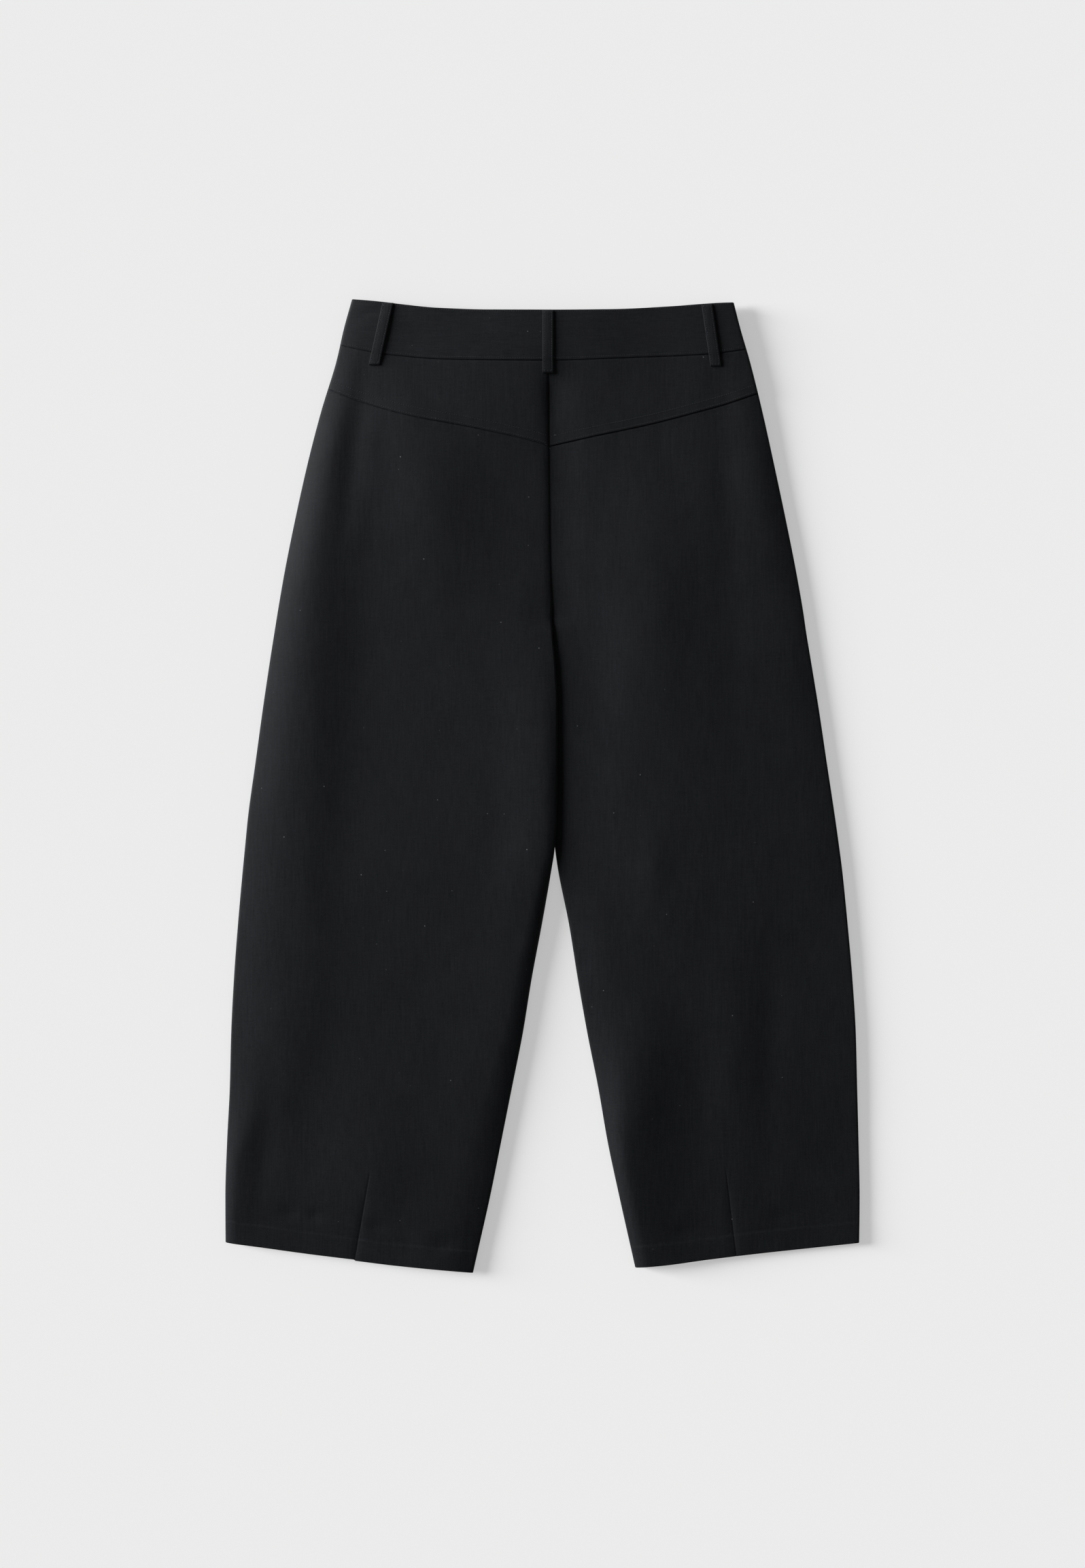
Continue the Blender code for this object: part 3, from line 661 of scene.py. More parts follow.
def turn(radius, sewn, steps):
    """Distances and climbs of the columns round a folded edge, spread flat where it is sewn."""
    angles = np.linspace(0.0, pi / 2, TURN_STEPS + 1)
    distances = between(np.array(FLAT_COLUMNS), radius * (1 - np.cos(angles)), sewn)
    rows = np.broadcast_to(distances, (len(distances) if np.ndim(distances) > 1 else 1, TURN_STEPS + 1))
    climbs = np.broadcast_to(np.sin(angles), rows.shape)
    extra = rows[:, -1:] + np.array(steps)
    return np.hstack([rows, extra]), np.hstack([climbs, np.ones(extra.shape)])


def across_half(half, drop_at, near, spacing, darted):
    """x and climb of each point of a half panel, from its side fold to its inner edge."""
    side = crossing(half.side, drop_at)
    inner = crossing(half.inner, drop_at)
    side_drop, inner_drop = drop_at(side), drop_at(inner)
    from_edge, side_climb = turn(FOLD_TURN, np.ones(side.shape), near)
    radius = between(FOLD_TURN, OVERLAP_TURN, overlap(inner_drop))
    from_seam, inner_climb = turn(radius, closed(inner_drop), near)
    start = side - half.away * from_edge
    end = (inner + half.away * from_seam)[:, ::-1]
    if darted:
        line = dart_line(half, (side_drop + inner_drop) / 2)
        beside = np.array(DART_COLUMNS)
        cluster = line + half.away * np.r_[beside, 0.0, -beside[::-1]]
        counts = [max(3, round(abs(a - b) / spacing)) for a, b in (
            (float(np.mean(start[:, -1])), float(np.mean(cluster[:, 0]))),
            (float(np.mean(cluster[:, -1])), float(np.mean(end[:, 0]))))]
        middle = np.hstack([*inside(start[:, -1:], cluster[:, :1], counts[0]), cluster,
                            *inside(cluster[:, -1:], end[:, :1], counts[1])])
    else:
        count = max(3, round(abs(float(np.mean(start[:, -1] - end[:, 0]))) / spacing))
        middle = np.hstack(inside(start[:, -1:], end[:, :1], count))
    x = np.hstack([start, middle, end])
    climb = np.hstack([side_climb, np.ones(middle.shape), inner_climb[:, ::-1]])
    return x, climb


def across_both(drop_at, near, spacing):
    """x and climb of each point of a band that runs from one side fold to the other."""
    left, right = crossing(LEFT.side, drop_at), crossing(RIGHT.side, drop_at)
    from_edge, edge_climb = turn(FOLD_TURN, np.ones(left.shape), near)
    start, end = left + from_edge, (right - from_edge)[:, ::-1]
    count = round(float(np.mean(end[:, 0] - start[:, -1])) / spacing)
    middle = np.hstack(inside(start[:, -1:], end[:, :1], count))
    x = np.hstack([start, middle, end])
    return x, np.hstack([edge_climb, np.ones(middle.shape), edge_climb[:, ::-1]])


def at(x, drop, height):
    """Points from their places across the garment, down it and above the floor."""
    return np.stack(np.broadcast_arrays(x, LENGTH / 2 - drop, height), axis=-1)


def surface(x, climb, drop_at, height):
    """Points of a panel, rows by columns by three."""
    drop = np.broadcast_to(drop_at(x), x.shape)
    return at(x, drop, height(x, drop, climb))


def inward(grid, facing):
    """The direction into the garment at each point, square to its own section."""
    along = np.gradient(grid[:, :, [0, 2]], axis=1)
    along /= np.linalg.norm(along, axis=2, keepdims=True)
    way = facing * np.sign(grid[0, -1, 0] - grid[0, 0, 0])
    return np.stack([way * along[:, :, 1], np.zeros(along.shape[:2]), -way * along[:, :, 0]], axis=-1)


def turned_under(grid, facing, end_rows, radius, down):
    """The grid carried on round its last row and back up inside, as a turned edge."""
    into = inward(grid, facing)
    last, last_into = grid[-1:], into[-1:]
    rows = [grid]
    for angle in np.linspace(0.0, pi, 2 * EDGE_STEPS + 1)[1:]:
        reach = np.array([0.0, -down * radius * np.sin(angle), 0.0])
        rows.append(last + reach + last_into * radius * (1 - np.cos(angle)))
    inner = (grid + into * 2 * radius)[-1 - end_rows:-1][::-1]
    return np.concatenate([*rows, inner])


# Meshes and pieces

def ring_faces(rings, sides):
    """Faces that join each ring of points to the next one."""
    index = np.arange(rings * sides).reshape(rings, sides)
    following = np.roll(index, -1, axis=1)
    return np.stack([index[:-1], following[:-1], following[1:], index[1:]], axis=-1).reshape(-1, 4)


def object_of(name, points, faces, finish):
    mesh = bpy.data.meshes.new(name)
    mesh.from_pydata(points.tolist(), [], faces.tolist() if hasattr(faces, "tolist") else faces)
    mesh.materials.append(finish)
    mesh.shade_smooth()
    piece = bpy.data.objects.new(name, mesh)
    bpy.context.scene.collection.objects.link(piece)
    return piece


def cloth(name, grid, facing, thickness, finish):
    """A thin shell of cloth whose outer face is the grid."""
    rows, columns = grid.shape[:2]
    index = np.arange(rows * columns).reshape(rows, columns)
    faces = np.stack([index[:-1, :-1], index[1:, :-1], index[1:, 1:], index[:-1, 1:]], axis=-1)
    faces = faces.reshape(-1, 4)
    across = np.sign(grid[0, -1, 0] - grid[0, 0, 0])
    down = np.sign(grid[0, 0, 1] - grid[1, 0, 1])
    if facing * across * down < 0:
        faces = faces[:, ::-1]
    piece = object_of(name, grid.reshape(-1, 3), faces, finish)
    shell = piece.modifiers.new("thickness", "SOLIDIFY")
    shell.thickness = thickness
    shell.offset = -1
    return piece


def dressed(piece, node):
    """The piece stands for its node and rides on the garment's one body."""
    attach(piece, "root")
    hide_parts(node)
    return piece


# The cut and sewn pieces

NEAR_EDGE = (0.0020, 0.0042, 0.0068)
SEAM_ROWS = (-0.0012, -0.0006, 0.0, 0.0004, 0.0008, 0.0013, 0.0020, 0.0032)
LAP_ROWS = (0.0040, 0.0026, 0.0016, 0.0009, 0.0005, 0.0002, 0.0)
HEM_ROWS = (0.0250, 0.0232, 0.0222, 0.0214, 0.0207, 0.0200, 0.0193, 0.0186, 0.0175, 0.0160,
            0.0135, 0.0110, 0.0085, 0.0060, 0.0040, 0.0024, 0.0014, EDGE_RADIUS)
HEM_RETURN = 12
FOLDED_TOP_ROWS = (EDGE_RADIUS, 0.0016, 0.0026, 0.0040)


def panel(name, node, half, drop_at, height, facing, finish,
          thickness=CLOTH, spacing=FINE, turned=0, down=1, darted=False):
    """A piece of cloth over one half, or over both where half is None. Turned gives how many rows
    of its last edge go back inside, and down is 1 where that is a hem and -1 where it is the waist."""
    if half:
        x, climb = across_half(half, drop_at, NEAR_EDGE, spacing, darted)
    else:
        x, climb = across_both(drop_at, NEAR_EDGE, spacing)
    grid = surface(x, climb, drop_at, height)
    if turned:
        grid = turned_under(grid, facing, turned, EDGE_RADIUS, down)
    dressed(cloth(name, grid, facing, thickness, finish), node)


def band_rows(seam, waist, count):
    """A waistband's rows, from its seam up to the fold at its top."""
    first = [-row for row in LAP_ROWS[::-1]]
    return rows_down(seam, waist, first, count, [-row for row in FOLDED_TOP_ROWS[::-1]])


def back_panels(finish, band_finish):
    for half in (LEFT, RIGHT):
        rows = rows_down(half.yoke_seam, half.hem, SEAM_ROWS, 245, HEM_ROWS)
        panel(f"{half.name}_leg_back_cloth", f"back_leg_{half.name}", half, rows, leg_back(half), 1, finish,
              turned=HEM_RETURN, darted=True)
    for half in (LEFT, RIGHT):
        rows = rows_down(band_seam, half.yoke_seam, SEAM_ROWS, 20, LAP_ROWS)
        panel(f"{half.name}_yoke_cloth", f"back_yoke_{half.name}", half, rows, yoke_back(half), 1, finish)
    panel("back_waistband_cloth", "waistband_back", None, band_rows(band_seam, waist_edge, 14), band_back, 1,
          band_finish, BAND_CLOTH, turned=16, down=-1)


def front_panels(finish, band_finish):
    for half in (LEFT, RIGHT):
        rows = rows_down(front_seam, lambda x: half.hem(x) - FRONT_HEM_INSET, SEAM_ROWS, 140, HEM_ROWS)
        panel(f"{half.name}_leg_front_cloth", f"front_leg_{half.name}", half, rows, leg_front(half), -1,
              finish, spacing=COARSE, turned=HEM_RETURN)
        panel(f"{half.name}_front_waistband_cloth", f"waistband_front_{half.name}", half,
              band_rows(front_seam, front_waist, 9), band_front(half), -1, band_finish,
              BAND_CLOTH, COARSE, turned=12, down=-1)


def loop_section():
    """A belt loop's cross-section: across it and up from what it lies on."""
    half = LOOP_WIDTH / 2
    flat = half - LOOP_CORNER
    across = np.linspace(-flat, flat, 13)
    valley = 0.00018 * hump(np.abs(across) - (half - LOOP_STITCH_IN), 0.0006)
    crown = 0.00015 * (1 - (across / half) ** 2)
    top = np.stack([across, LOOP_THICK + crown - valley], axis=-1)
    bend = np.linspace(pi / 2, -pi / 2, 6)[1:-1]
    middle = LOOP_THICK / 2
    right = np.stack([flat + LOOP_CORNER * np.cos(bend), middle + middle * np.sin(bend)], axis=-1)
    under = np.stack([across[::-2], np.zeros(7)], axis=-1)
    left = right[::-1] * (-1, 1)
    return np.concatenate([top, right, under, left])


def loop_cloth(name, line, face, sense, node, finish):
    """A belt loop swept along its line, tacked down at both ends."""
    shares = np.r_[0.0, 0.01, 0.03, np.linspace(0.06, 0.94, 28), 0.97, 0.99, 1.0]
    section = loop_section()
    x, drop, stand = line(shares)
    pinch = np.clip(np.minimum(shares, 1 - shares) / LOOP_TACKED, LOOP_PINCHED, 1.0)
    points = []
    for place, low, lift, thin in zip(x, drop, stand, pinch):
        across = place + section[:, 0]
        height = face(across, np.full(len(section), low))
        points.append(at(across, low, height + sense * (lift + section[:, 1] * thin)))
    grid = np.array(points)
    count = len(section)
    ends = list(range(count)), list(range(len(shares) * count - count, len(shares) * count))
    faces = np.roll(ring_faces(len(shares), count), -1, axis=1)[:, ::-sense].tolist()
    faces += [ends[0][::sense], ends[1][::-sense]]
    piece = object_of(name, grid.reshape(-1, 3), faces, finish)
    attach(piece, "root")
    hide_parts(node)
    return piece


def loop_line(loop, upper, lower):
    """Where a loop runs: across, down, and how far it stands off what it lies on."""
    def line(shares):
        x = between(loop.top_x, loop.bottom_x, shares)
        drop = between(upper(x) + LOOP_INSET, lower(x) + LOOP_HANG, shares)
        return x, drop, LAYER_GAP + loop.stand * np.sin(pi * shares) ** 0.7
    return line


def top_of_back(x, drop):
    """The outer face that a back loop lies on, without the dips beside seams."""
    raised = between(LAP, BAND_LAP, ramp(band_seam(x) - drop, -LAP_BLEND, LAP_BLEND))
    return whole_back(x, drop, np.ones(np.shape(x))) + raised


def bottom_of_front(x, drop):
    left = x < LEFT.inner(drop)
    ones = np.ones(np.shape(x))
    return np.where(left, front_height(LEFT, x, drop, ones), front_height(RIGHT, x, drop, ones)) - LAP / 2


def belt_loops(finish, thread):
    lines = []
    for loop in BACK_LOOPS:
        line = loop_line(loop, waist_edge, band_seam)
        loop_cloth(f"belt_loop_{loop.name}_cloth", line, top_of_back, 1, f"belt_loop_{loop.name}",
                   finish)
        lines += loop_stitches(line, top_of_back, 1)
    for name, sense in (("left", -1), ("right", 1)):
        loop = Loop(name, sense * FRONT_LOOP_X, sense * FRONT_LOOP_X * FRONT_LOOP_SPREAD, FRONT_LOOP_STAND)
        line = loop_line(loop, front_waist, front_seam)
        loop_cloth(f"belt_loop_front_{name}_cloth", line, bottom_of_front, -1, f"belt_loop_front_{name}",
                   finish)
        lines += loop_stitches(line, bottom_of_front, -1)
    sewing("belt_loop_stitches", lines, thread)


# Sewing

def loop_stitches(line, face, sense):
    """The topstitching along both edges of a belt loop, and the tacks at its ends."""
    rows = []
    shares = np.linspace(0.03, 0.97, 80)
    x, drop, stand = line(shares)
    for way in (-1, 1):
        across = x + way * (LOOP_WIDTH / 2 - LOOP_STITCH_IN)
        height = face(across, drop) + sense * (stand + LOOP_THICK)
        rows.append((at(across, drop, height), sense))
    reach = LOOP_WIDTH / 2 - LOOP_STITCH_IN / 2
    for from_end in TACK_ROWS:
        for share in (from_end, 1 - from_end):
            place, low, lift = line(np.full(8, share))
            across = place + np.linspace(-reach, reach, 8)
            up = face(across, low) + sense * (lift + LOOP_THICK)
            rows.append((at(across, low, up), sense))
    return rows


def capsule():
    """One stitch, along +X, sunk at both ends."""
    along = np.linspace(-1.0, 1.0, 6)
    radius = STITCH_RADIUS * np.sqrt(np.maximum(1 - np.abs(along) ** 4, 0.04))
    angles = np.arange(STITCH_SIDES) * 2 * pi / STITCH_SIDES
    sunk = STITCH_RADIUS * STITCH_SINK * along ** 4
    rings = [
        [(a * STITCH_LENGTH / 2, r * np.cos(t), r * np.sin(t) - low) for t in angles]
        for a, r, low in zip(along, radius, sunk)
    ]
    return np.array(rings).reshape(-1, 3), ring_faces(len(along), STITCH_SIDES)


def repeated(template, faces, frames):
    """Copies of a small mesh, joined: each frame gives a place and the directions of its axes."""
    points = np.concatenate([place + template @ axes for place, axes in frames])
    steps = np.arange(len(frames))[:, None, None] * len(template)
    return points, (faces[None] + steps).reshape(-1, faces.shape[1])


def frames_along(points, sense, pitch, slant):
    """Evenly spaced places along a line, each turned to follow it."""
    lengths = np.r_[0.0, np.cumsum(np.linalg.norm(np.diff(points, axis=0), axis=1))]
    count = int(lengths[-1] / pitch)
    frames = []
    for step in range(count):
        reached = (step + 0.5) * lengths[-1] / count
        place = np.array([np.interp(reached, lengths, points[:, k]) for k in range(3)])
        ahead = np.array([np.interp(reached + pitch / 4, lengths, points[:, k]) for k in range(3)])
        behind = np.array([np.interp(reached - pitch / 4, lengths, points[:, k]) for k in range(3)])
        along = (ahead - behind) / np.linalg.norm(ahead - behind)
        up = np.array([0.0, 0.0, float(sense)])
        across = np.cross(up, along)
        across /= np.linalg.norm(across)
        up = np.cross(along, across)
        turned = along * np.cos(slant) + across * np.sin(slant)
        frames.append((place, np.array([turned, np.cross(up, turned), up])))
    return frames


def sewing(name, lines, thread):
    """Rows of stitches as one piece. Each line has its points and the way that its stitches face."""
    frames = []
    for points, sense in lines:
        frames += frames_along(points, sense, STITCH_PITCH, STITCH_SLANT)
    template, faces = capsule()
    points, all_faces = repeated(template, faces, frames)
    piece = object_of(name, points, all_faces, thread)
    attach(piece, "root")
    return piece


def line_on(x, drop, face, sense):
    """A line of stitches that lies on a face of the garment."""
    height = face(x, drop, np.ones(x.shape))
    return at(x, drop, height + sense * STITCH_RADIUS * STITCH_LIFT), sense


def panel_sewing(thread):
    """Rows of topstitching beside the seams and edges of the back and the front."""
    edges = (
        (band_seam, front_seam, -BAND_STITCH_UP, BAND_STITCH_REACH),
        (waist_edge, front_waist, WAIST_STITCH_DOWN, WAIST_STITCH_REACH))
    back = []
    for edge, _, off, reach in edges:
        x = np.linspace(-reach, reach, 400)
        back.append(line_on(x, edge(x) + off, band_back, 1))
    front = []
    for half in (LEFT, RIGHT):
        start = half.inner(0.05) + half.away * FLY_EDGE
        for _, edge, off, reach in edges:
            x = np.linspace(start, half.away * reach, 200)
            front.append(line_on(x, edge(x) + off, band_front(half), -1))
    sewing("waistband_stitches", back, thread)
    sewing("front_waistband_stitches", front, thread)
    lines = []
    for half in (LEFT, RIGHT):
        for up in YOKE_STITCHES_UP:
            start = half.inner(0.12) + half.away * YOKE_STITCH_IN
            end = half.side(0.085) - half.away * YOKE_STITCH_END
            x = np.linspace(start, end, 300)
            lines.append(line_on(x, half.yoke_seam(x) - up, yoke_back(half), 1))
    sewing("yoke_stitches", lines, thread)


def fly_sewing(thread):
    """The stitches that hold the fly's facing: down beside its opening, and round to the seam."""
    centre = float(LEFT.inner(0.0))
    top = float(front_seam(centre)) + FLY_EDGE
    bottom = top + FLY_LENGTH + FLY_BELOW_ZIP
    turned = np.linspace(0.0, pi / 2, 30)
    x = centre + FLY_STITCH_WIDTH * np.r_[np.ones(60), np.cos(turned)]
    down = bottom - FLY_TURN * (1 - np.sin(turned))
    drop = np.r_[np.linspace(top, bottom - FLY_TURN, 60), down]
    lines = [line_on(x, drop, leg_front(RIGHT), -1)]
    drop = np.linspace(top, bottom, 80)
    x = RIGHT.inner(drop) + FLY_EDGE
    lines.append(line_on(x, drop, leg_front(RIGHT), -1))
    sewing("fly_stitches", lines, thread)


# Finishes

class Value:
    """A number in a finish's nodes, which sums treat as any other number."""

    def __init__(self, finish, socket):
        self.finish = finish
        self.socket = socket

    def joined(self, operation, *values):
        node = self.finish.node("ShaderNodeMath", {"operation": operation}, dict(enumerate(values)))
        return Value(self.finish, node.outputs[0])

    def __add__(self, other):
        return self.joined("ADD", self, other)

    def __sub__(self, other):
        return self.joined("SUBTRACT", self, other)

    def __rsub__(self, other):
        return self.joined("SUBTRACT", other, self)

    def __mul__(self, other):
        return self.joined("MULTIPLY", self, other)

    __radd__ = __add__
    __rmul__ = __mul__


class Finish:
    """A material made of nodes."""

    def __init__(self, name):
        self.material = bpy.data.materials.new(name)
        self.material.use_nodes = True
        self.tree = self.material.node_tree
        self.tree.nodes.clear()

    def node(self, kind, settings=None, inputs=None):
        """A node with its settings, and then the values or links of its sockets."""
        node = self.tree.nodes.new(kind)
        for name, value in (settings or {}).items():
            setattr(node, name, value)
        for name, value in (inputs or {}).items():
            if isinstance(value, Value):
                self.tree.links.new(value.socket, node.inputs[name])
            else:
                node.inputs[name].default_value = value
        return node

    def value(self, kind, settings=None, inputs=None, output=0):
        return Value(self, self.node(kind, settings, inputs).outputs[output])

    def places(self, scale):
        """The object's own coordinates, in metres, times a scale for each axis."""
        coordinates = self.value("ShaderNodeTexCoord", output="Object")
        return self.value("ShaderNodeMapping", {}, {"Vector": coordinates, "Scale": scale})

    def noise(self, scale, detail=2.0):
        vector = self.places(scale)
        return self.value("ShaderNodeTexNoise", {}, {"Vector": vector, "Scale": 1.0, "Detail": detail})

    def mix(self, share, one, other):
        """One colour where share is 0, and the other where it is 1."""
        return self.value("ShaderNodeMix", {"data_type": "RGBA"}, {"Factor": share, "A": one, "B": other}, 2)

    def shaded(self, inputs):
        shader = self.value("ShaderNodeBsdfPrincipled", {}, inputs)
        self.node("ShaderNodeOutputMaterial", {}, {"Surface": shader})
        return self.material


THREAD_PITCH = 0.00052
BLACK = (0.0039, 0.0044, 0.0053, 1.0)
WORN_BLACK = (0.0078, 0.0085, 0.0098, 1.0)
LINT = (0.12, 0.125, 0.13, 1.0)
LINT_CELL = 0.012
LINT_SIZE = 0.022


def cloth_finish(name, warp_along_x=False):
    """Black cotton twill: fine weave, faint slubs along its warp, and a little lint."""
    finish = Finish(name)
    coordinates = finish.value("ShaderNodeTexCoord", output="Object")
    split = finish.node("ShaderNodeSeparateXYZ", {}, {"Vector": coordinates})
    x, y = Value(finish, split.outputs[0]), Value(finish, split.outputs[1])
    if warp_along_x:
        x, y = y, x
    turns = 2 * pi / THREAD_PITCH
    warp = (x * turns + y * (turns * 0.5)).joined("SINE", x * turns + y * (turns * 0.5))
    weft = (y * turns).joined("SINE", y * turns)
    slub_scale, cross_scale = (900.0, 45.0, 200.0), (70.0, 1000.0, 200.0)
    if warp_along_x:
        slub_scale, cross_scale = cross_scale, slub_scale
    slub = finish.noise(slub_scale)
    cross = finish.noise(cross_scale)
    cloud = finish.noise((28.0, 18.0, 28.0), 3.0)
    speckle = finish.noise((750.0, 650.0, 750.0), 3.0)
    grain = slub * 0.35 + cross * 0.15 + speckle * 0.35 + cloud * 0.15
    spread = finish.value("ShaderNodeMapRange", {}, {"Value": grain, "From Min": 0.38, "From Max": 0.62})
    colour = finish.mix(spread, BLACK, WORN_BLACK)
    cells = finish.node("ShaderNodeTexVoronoi", {}, {
        "Vector": finish.places((1 / LINT_CELL, 1 / LINT_CELL, 1 / LINT_CELL)),
        "Scale": 1.0, "Randomness": 1.0})
    near = finish.value("ShaderNodeMapRange", {}, {
        "Value": Value(finish, cells.outputs["Distance"]),
        "From Min": LINT_SIZE, "From Max": 2.2 * LINT_SIZE, "To Min": 1.0, "To Max": 0.0})
    pick = finish.node("ShaderNodeSeparateColor", {}, {"Color": Value(finish, cells.outputs["Color"])})
    red, green = Value(finish, pick.outputs[0]), Value(finish, pick.outputs[1])
    chosen = red.joined("GREATER_THAN", red, 0.55)
    colour = finish.mix(near * chosen * green * green, colour, LINT)
    height = warp * 0.5 + weft * 0.3 + slub * 1.2 + cross * 0.6 + speckle * 1.2
    bump = finish.value("ShaderNodeBump", {}, {"Height": height, "Strength": 0.35, "Distance": 0.00012})
    rough = 0.60 + slub * 0.10
    return finish.shaded({
        "Base Color": colour, "Roughness": rough, "Normal": bump,
        "Specular IOR Level": 0.062, "Sheen Weight": 0.05, "Sheen Roughness": 0.30,
        "Sheen Tint": (0.85, 0.92, 1.0, 1.0)})


def plain_finish(name, colour, roughness, metallic=0.0, specular=0.5, size=0.002):
    """A finish that varies a little in colour and shine over small patches."""
    finish = Finish(name)
    cloud = finish.noise((1 / size, 1 / size, 1 / size))
    darker = tuple(channel * 0.7 for channel in colour[:3]) + (1.0,)
    return finish.shaded({
        "Base Color": finish.mix(cloud, darker, colour), "Roughness": roughness + cloud * 0.1,
        "Metallic": metallic, "Specular IOR Level": specular})


# Hidden fastenings

def strip_grid(centre, width, drops, height):
    x = centre + np.linspace(-width / 2, width / 2, 9)[None] + 0 * drops[:, None]
    drop = drops[:, None] + 0 * x
    return at(x, drop, height(x, drop))


def tooth():
    """One tooth of the zip: a rounded block across its middle."""
    angles = np.linspace(0.0, 2 * pi, 8, endpoint=False)
    rings = []
    for across, size in ((-1.0, 0.55), (-0.85, 1.0), (0.85, 1.0), (1.0, 0.55)):
        along = size * TOOTH_LENGTH / 2 * np.cos(angles)
        up = TOOTH_HEIGHT / 2 * (1 + size * np.sin(angles))
        rings.append(np.column_stack([np.full(8, across * TOOTH_WIDTH / 2), along, up]))
    first = [[7, 6, 1, 0], [6, 5, 2, 1], [5, 4, 3, 2]]
    last = [[24, 25, 30, 31], [25, 26, 29, 30], [26, 27, 28, 29]]
    return np.concatenate(rings), np.concatenate([ring_faces(4, 8), first, last])


def plate(outline, low, high, edge):
    """A plate with rounded edges: its outline drawn in at the bottom and the top."""
    middle = outline.mean(axis=0)
    levels = ((low, edge), (low + edge, 0.0), (high - edge, 0.0), (high, edge))
    rings = []
    for height, inset in levels:
        away = outline - middle
        size = np.linalg.norm(away, axis=1, keepdims=True)
        ring = middle + away * (1 - inset / size)
        rings.append(np.column_stack([ring, np.full(len(ring), height)]))
    count = len(outline)
    bottom, top = list(range(count)), list(range(3 * count, 4 * count))
    return np.concatenate(rings), ring_faces(4, count).tolist() + [bottom[::-1], top]


def rounded_outline(x, drop, width, length, power):
    """A rounded rectangle about a place on the garment."""
    angles = np.linspace(0.0, 2 * pi, 40, endpoint=False)
    c, s = np.cos(angles), np.sin(angles)
    across = x + width / 2 * np.sign(c) * np.abs(c) ** (2 / power)
    along = LENGTH / 2 - drop + length / 2 * np.sign(s) * np.abs(s) ** (2 / power)
    return np.column_stack([across, along])


def zip_chain(x, drops, height, teeth):
    """The closed row of teeth, with the slider at its top and the pull lying down from it."""
    count = int((drops[-1] - drops[0] - SLIDER_LENGTH) / TOOTH_PITCH)
    frames = []
    for step in range(count):
        drop = drops[0] + SLIDER_LENGTH + (step + 0.5) * TOOTH_PITCH
        frames.append((at(x, drop, float(height(x, drop))), np.eye(3)))
    points, faces = repeated(*tooth(), frames)
    chain = object_of("fly_zip_teeth", points, faces, teeth)
    middle = drops[0] + SLIDER_LENGTH / 2
    base = float(height(x, middle))
    outline = rounded_outline(x, middle, SLIDER_WIDTH, SLIDER_LENGTH, 3.5)
    slider = object_of("fly_zip_slider", *plate(outline, base, base + SLIDER_HEIGHT, SLIDER_EDGE), teeth)
    outline = rounded_outline(x, middle + PULL_LENGTH / 2, PULL_WIDTH, PULL_LENGTH, 4.0)
    low = base + SLIDER_HEIGHT + PULL_GAP
    pull = object_of("fly_zip_pull", *plate(outline, low, low + PULL_HEIGHT, PULL_EDGE), teeth)
    for piece in (chain, slider, pull):
        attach(piece, "root")


def fly(finish, tape, teeth, steel):
    """The zip and the shield behind it, between front and back. The hook keeps its node."""
    centre = float(LEFT.inner(0.0))
    seam, waist = float(front_seam(centre)), float(front_waist(centre))

    def on_front(x, drop):
        low = bottom_of_front(x, drop) + LAP / 2
        return low + DIP + between(BAND_CLOTH, CLOTH, ramp(drop, seam, seam + 0.004))

    def tape_top(x, drop):
        return on_front(x, drop) + LAYER_GAP + ZIP_CLOTH

    drops = np.linspace(seam + FLY_TOP, seam + FLY_LENGTH, 60)
    grid = strip_grid(centre, ZIP_WIDTH, drops, tape_top)
    piece = cloth("fly_zip_tape", grid, 1, ZIP_CLOTH, tape)
    dressed(piece, "fly_zip")
    zip_chain(centre, drops, tape_top, teeth)
    drops = np.linspace(waist + FLY_TOP, seam + FLY_LENGTH + FLY_TOP, 80)
    grid = strip_grid(centre, SHIELD_WIDTH, drops, lambda x, drop: on_front(x, drop) + SHIELD_STAND)
    piece = cloth("fly_shield_cloth", grid, 1, CLOTH, finish)
    dressed(piece, "fly_shield")
    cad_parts["waist_hook"].data.materials.clear()
    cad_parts["waist_hook"].data.materials.append(steel)


# Studio

FLOOR_RADIUS = 1.55
FLOOR_FADE = 1.00
FLOOR_LEVEL = -0.0004
FLOOR_COLOUR = (0.55, 0.55, 0.55, 1.0)
FLOOR_GLOW = 0.74
BACKDROP = 0.83
BACKDROP_TOP = 0.04
FILL = 0.18
FILL_FROM = 0.26
KEY = 775.0
KEY_SIZE = 3.3
KEY_DISTANCE = 4.1
KEY_AZIMUTH = 153
KEY_ELEVATION = 15.5
WASH = 7.5
WASH_AZIMUTH = 170
WASH_ELEVATION = 14
WASH_ANGLE = 22
VIEW_HEIGHT = 1.487
LENS = 85.0
SENSOR = 36.0
VIEW_UP = 0.0019
VIEW_PLANE = 0.004


def studio_floor():
    """A pale round floor that fades into the backdrop. Its own glow keeps its shadows pale."""
    bpy.ops.mesh.primitive_circle_add(vertices=96, radius=FLOOR_RADIUS, fill_type="NGON",
                                      location=(0, 0, FLOOR_LEVEL))
    floor = bpy.context.active_object
    floor.name = "floor"
    finish = Finish("studio_floor")
    coordinates = finish.value("ShaderNodeTexCoord", output="Object")
    radius = finish.value("ShaderNodeVectorMath", {"operation": "LENGTH"}, {0: coordinates}, "Value")
    solid = finish.value("ShaderNodeMapRange", {"interpolation_type": "SMOOTHSTEP"}, {
        "Value": radius, "From Min": FLOOR_FADE, "From Max": FLOOR_RADIUS, "To Min": 1.0, "To Max": 0.0})
    floor.data.materials.append(finish.shaded({
        "Base Color": FLOOR_COLOUR, "Roughness": 0.9, "Specular IOR Level": 0.1,
        "Emission Color": FLOOR_COLOUR, "Emission Strength": FLOOR_GLOW, "Alpha": solid}))
    return floor


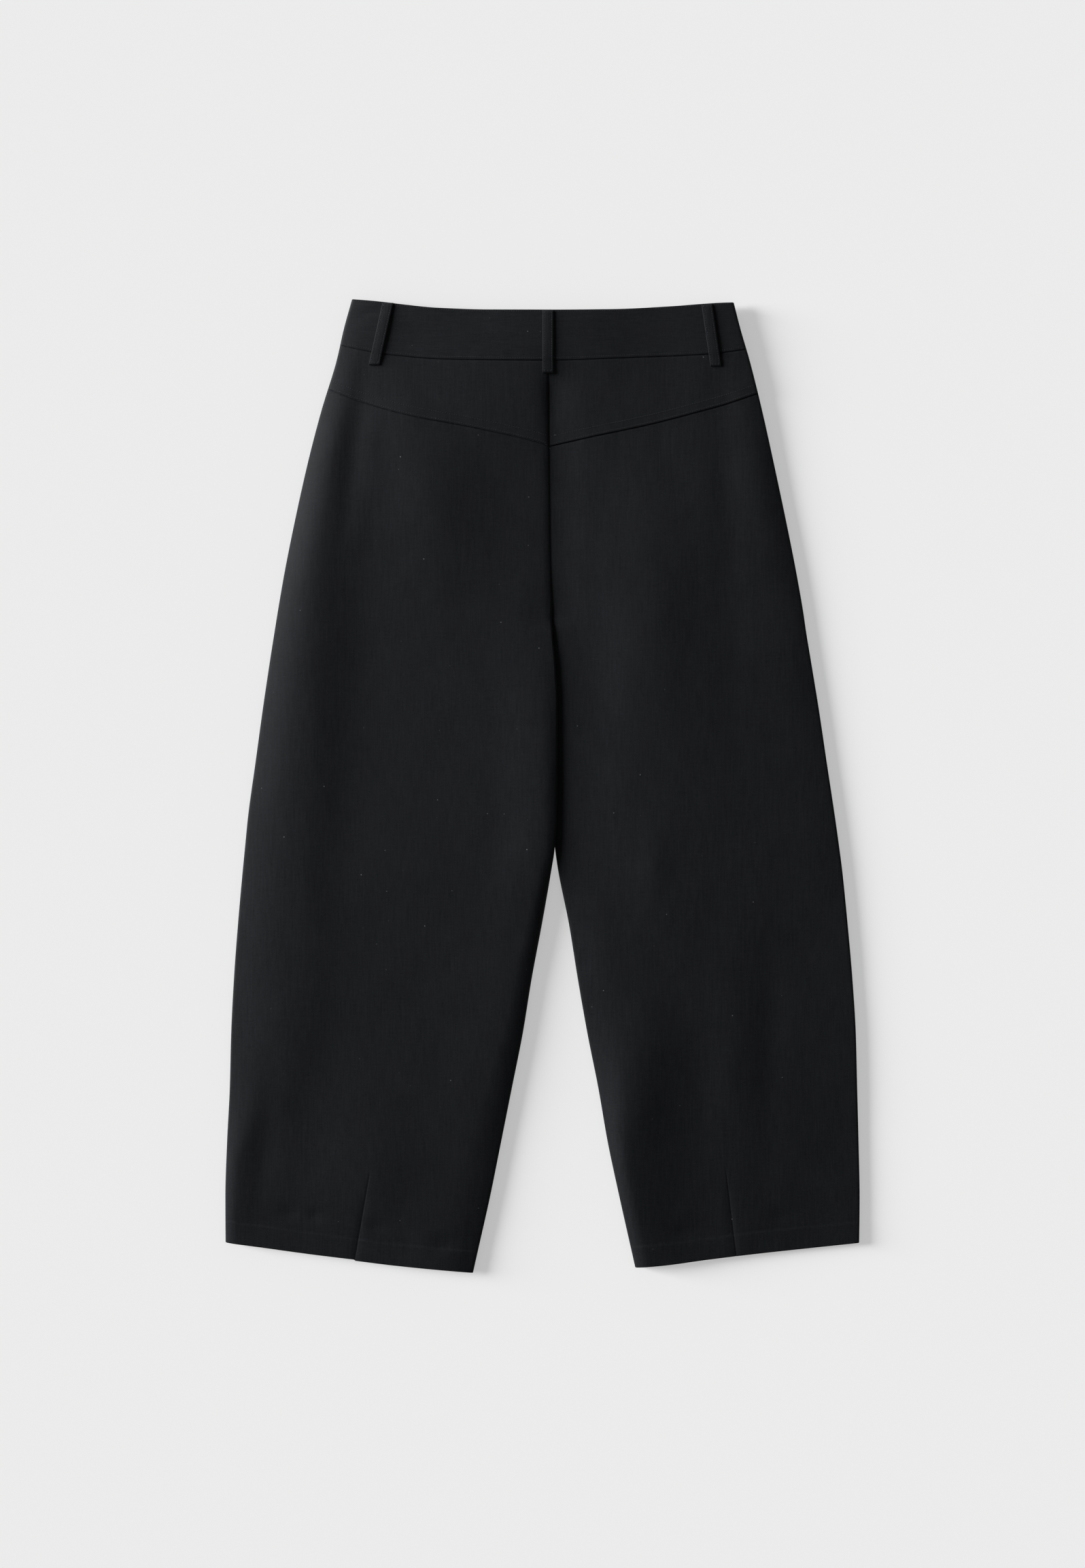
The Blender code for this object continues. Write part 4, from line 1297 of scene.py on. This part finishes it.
def towards(azimuth, elevation):
    """The direction in which a light stands, from the garment."""
    level = np.cos(radians(elevation))
    return Vector((
        np.cos(radians(azimuth)) * level, np.sin(radians(azimuth)) * level, np.sin(radians(elevation))))


def lamp(name, kind, energy, direction, distance, floor, lights_floor):
    """A light that shines either on the floor alone, or on everything but the floor."""
    light = bpy.data.lights.new(name, kind)
    light.energy = energy
    stand = bpy.data.objects.new(name, light)
    stand.location = direction * distance
    stand.rotation_mode = "QUATERNION"
    stand.rotation_quaternion = direction.to_track_quat("Z", "Y")
    stand.visible_camera = False
    bpy.context.scene.collection.objects.link(stand)
    lit = bpy.data.collections.new(name + "_shines_on")
    lit.objects.link(floor)
    lit.collection_objects[0].light_linking.link_state = "INCLUDE" if lights_floor else "EXCLUDE"
    stand.light_linking.receiver_collection = lit
    return light


def backdrop():
    """A bright backdrop all round, and the fill light above it."""
    world = bpy.data.worlds.new("studio")
    bpy.context.scene.world = world
    world.use_nodes = True
    tree = world.node_tree
    sky = tree.nodes["Background"]
    sky.inputs["Color"].default_value = (1, 1, 1, 1)
    direction = tree.nodes.new("ShaderNodeTexCoord")
    split = tree.nodes.new("ShaderNodeSeparateXYZ")
    level = tree.nodes.new("ShaderNodeMapRange")
    level.interpolation_type = "SMOOTHSTEP"
    level.inputs["From Min"].default_value = BACKDROP_TOP
    level.inputs["From Max"].default_value = FILL_FROM
    level.inputs["To Min"].default_value = BACKDROP
    level.inputs["To Max"].default_value = FILL
    tree.links.new(direction.outputs["Generated"], split.inputs["Vector"])
    tree.links.new(split.outputs["Z"], level.inputs["Value"])
    tree.links.new(level.outputs["Result"], sky.inputs["Strength"])


def studio():
    """The floor, the backdrop, a broad low key light on the cloth, and a narrower one on the floor."""
    floor = studio_floor()
    backdrop()
    key = lamp("key", "AREA", KEY, towards(KEY_AZIMUTH, KEY_ELEVATION), KEY_DISTANCE, floor, False)
    key.shape = "DISK"
    key.size = KEY_SIZE
    wash = lamp("floor_wash", "SUN", WASH, towards(WASH_AZIMUTH, WASH_ELEVATION), KEY_DISTANCE, floor, True)
    wash.angle = radians(WASH_ANGLE)


def camera():
    """Straight above the garment, with the photograph's framing."""
    data = bpy.data.cameras.new("camera")
    data.lens = LENS
    data.sensor_width = SENSOR
    data.clip_end = 50
    eye = bpy.data.objects.new("camera", data)
    eye.location = (0.0, VIEW_UP, VIEW_HEIGHT * LENS / SENSOR + VIEW_PLANE)
    bpy.context.scene.collection.objects.link(eye)
    bpy.context.scene.camera = eye


def main():
    twill = cloth_finish("black_twill")
    band_twill = cloth_finish("black_waistband_twill", True)
    thread = plain_finish("black_thread", (0.012, 0.0125, 0.014, 1.0), 0.45, specular=0.16)
    tape = plain_finish("zip_tape", (0.010, 0.010, 0.011, 1.0), 0.7, specular=0.1)
    teeth = plain_finish("zip_teeth", (0.10, 0.10, 0.105, 1.0), 0.35, 1.0)
    steel = plain_finish("hook_steel", (0.45, 0.45, 0.46, 1.0), 0.3, 1.0)
    back_panels(twill, band_twill)
    front_panels(twill, band_twill)
    belt_loops(twill, thread)
    panel_sewing(thread)
    fly_sewing(thread)
    fly(twill, tape, teeth, steel)
    studio()
    camera()


main()
bpy.context.scene.view_settings.view_transform = "Standard"
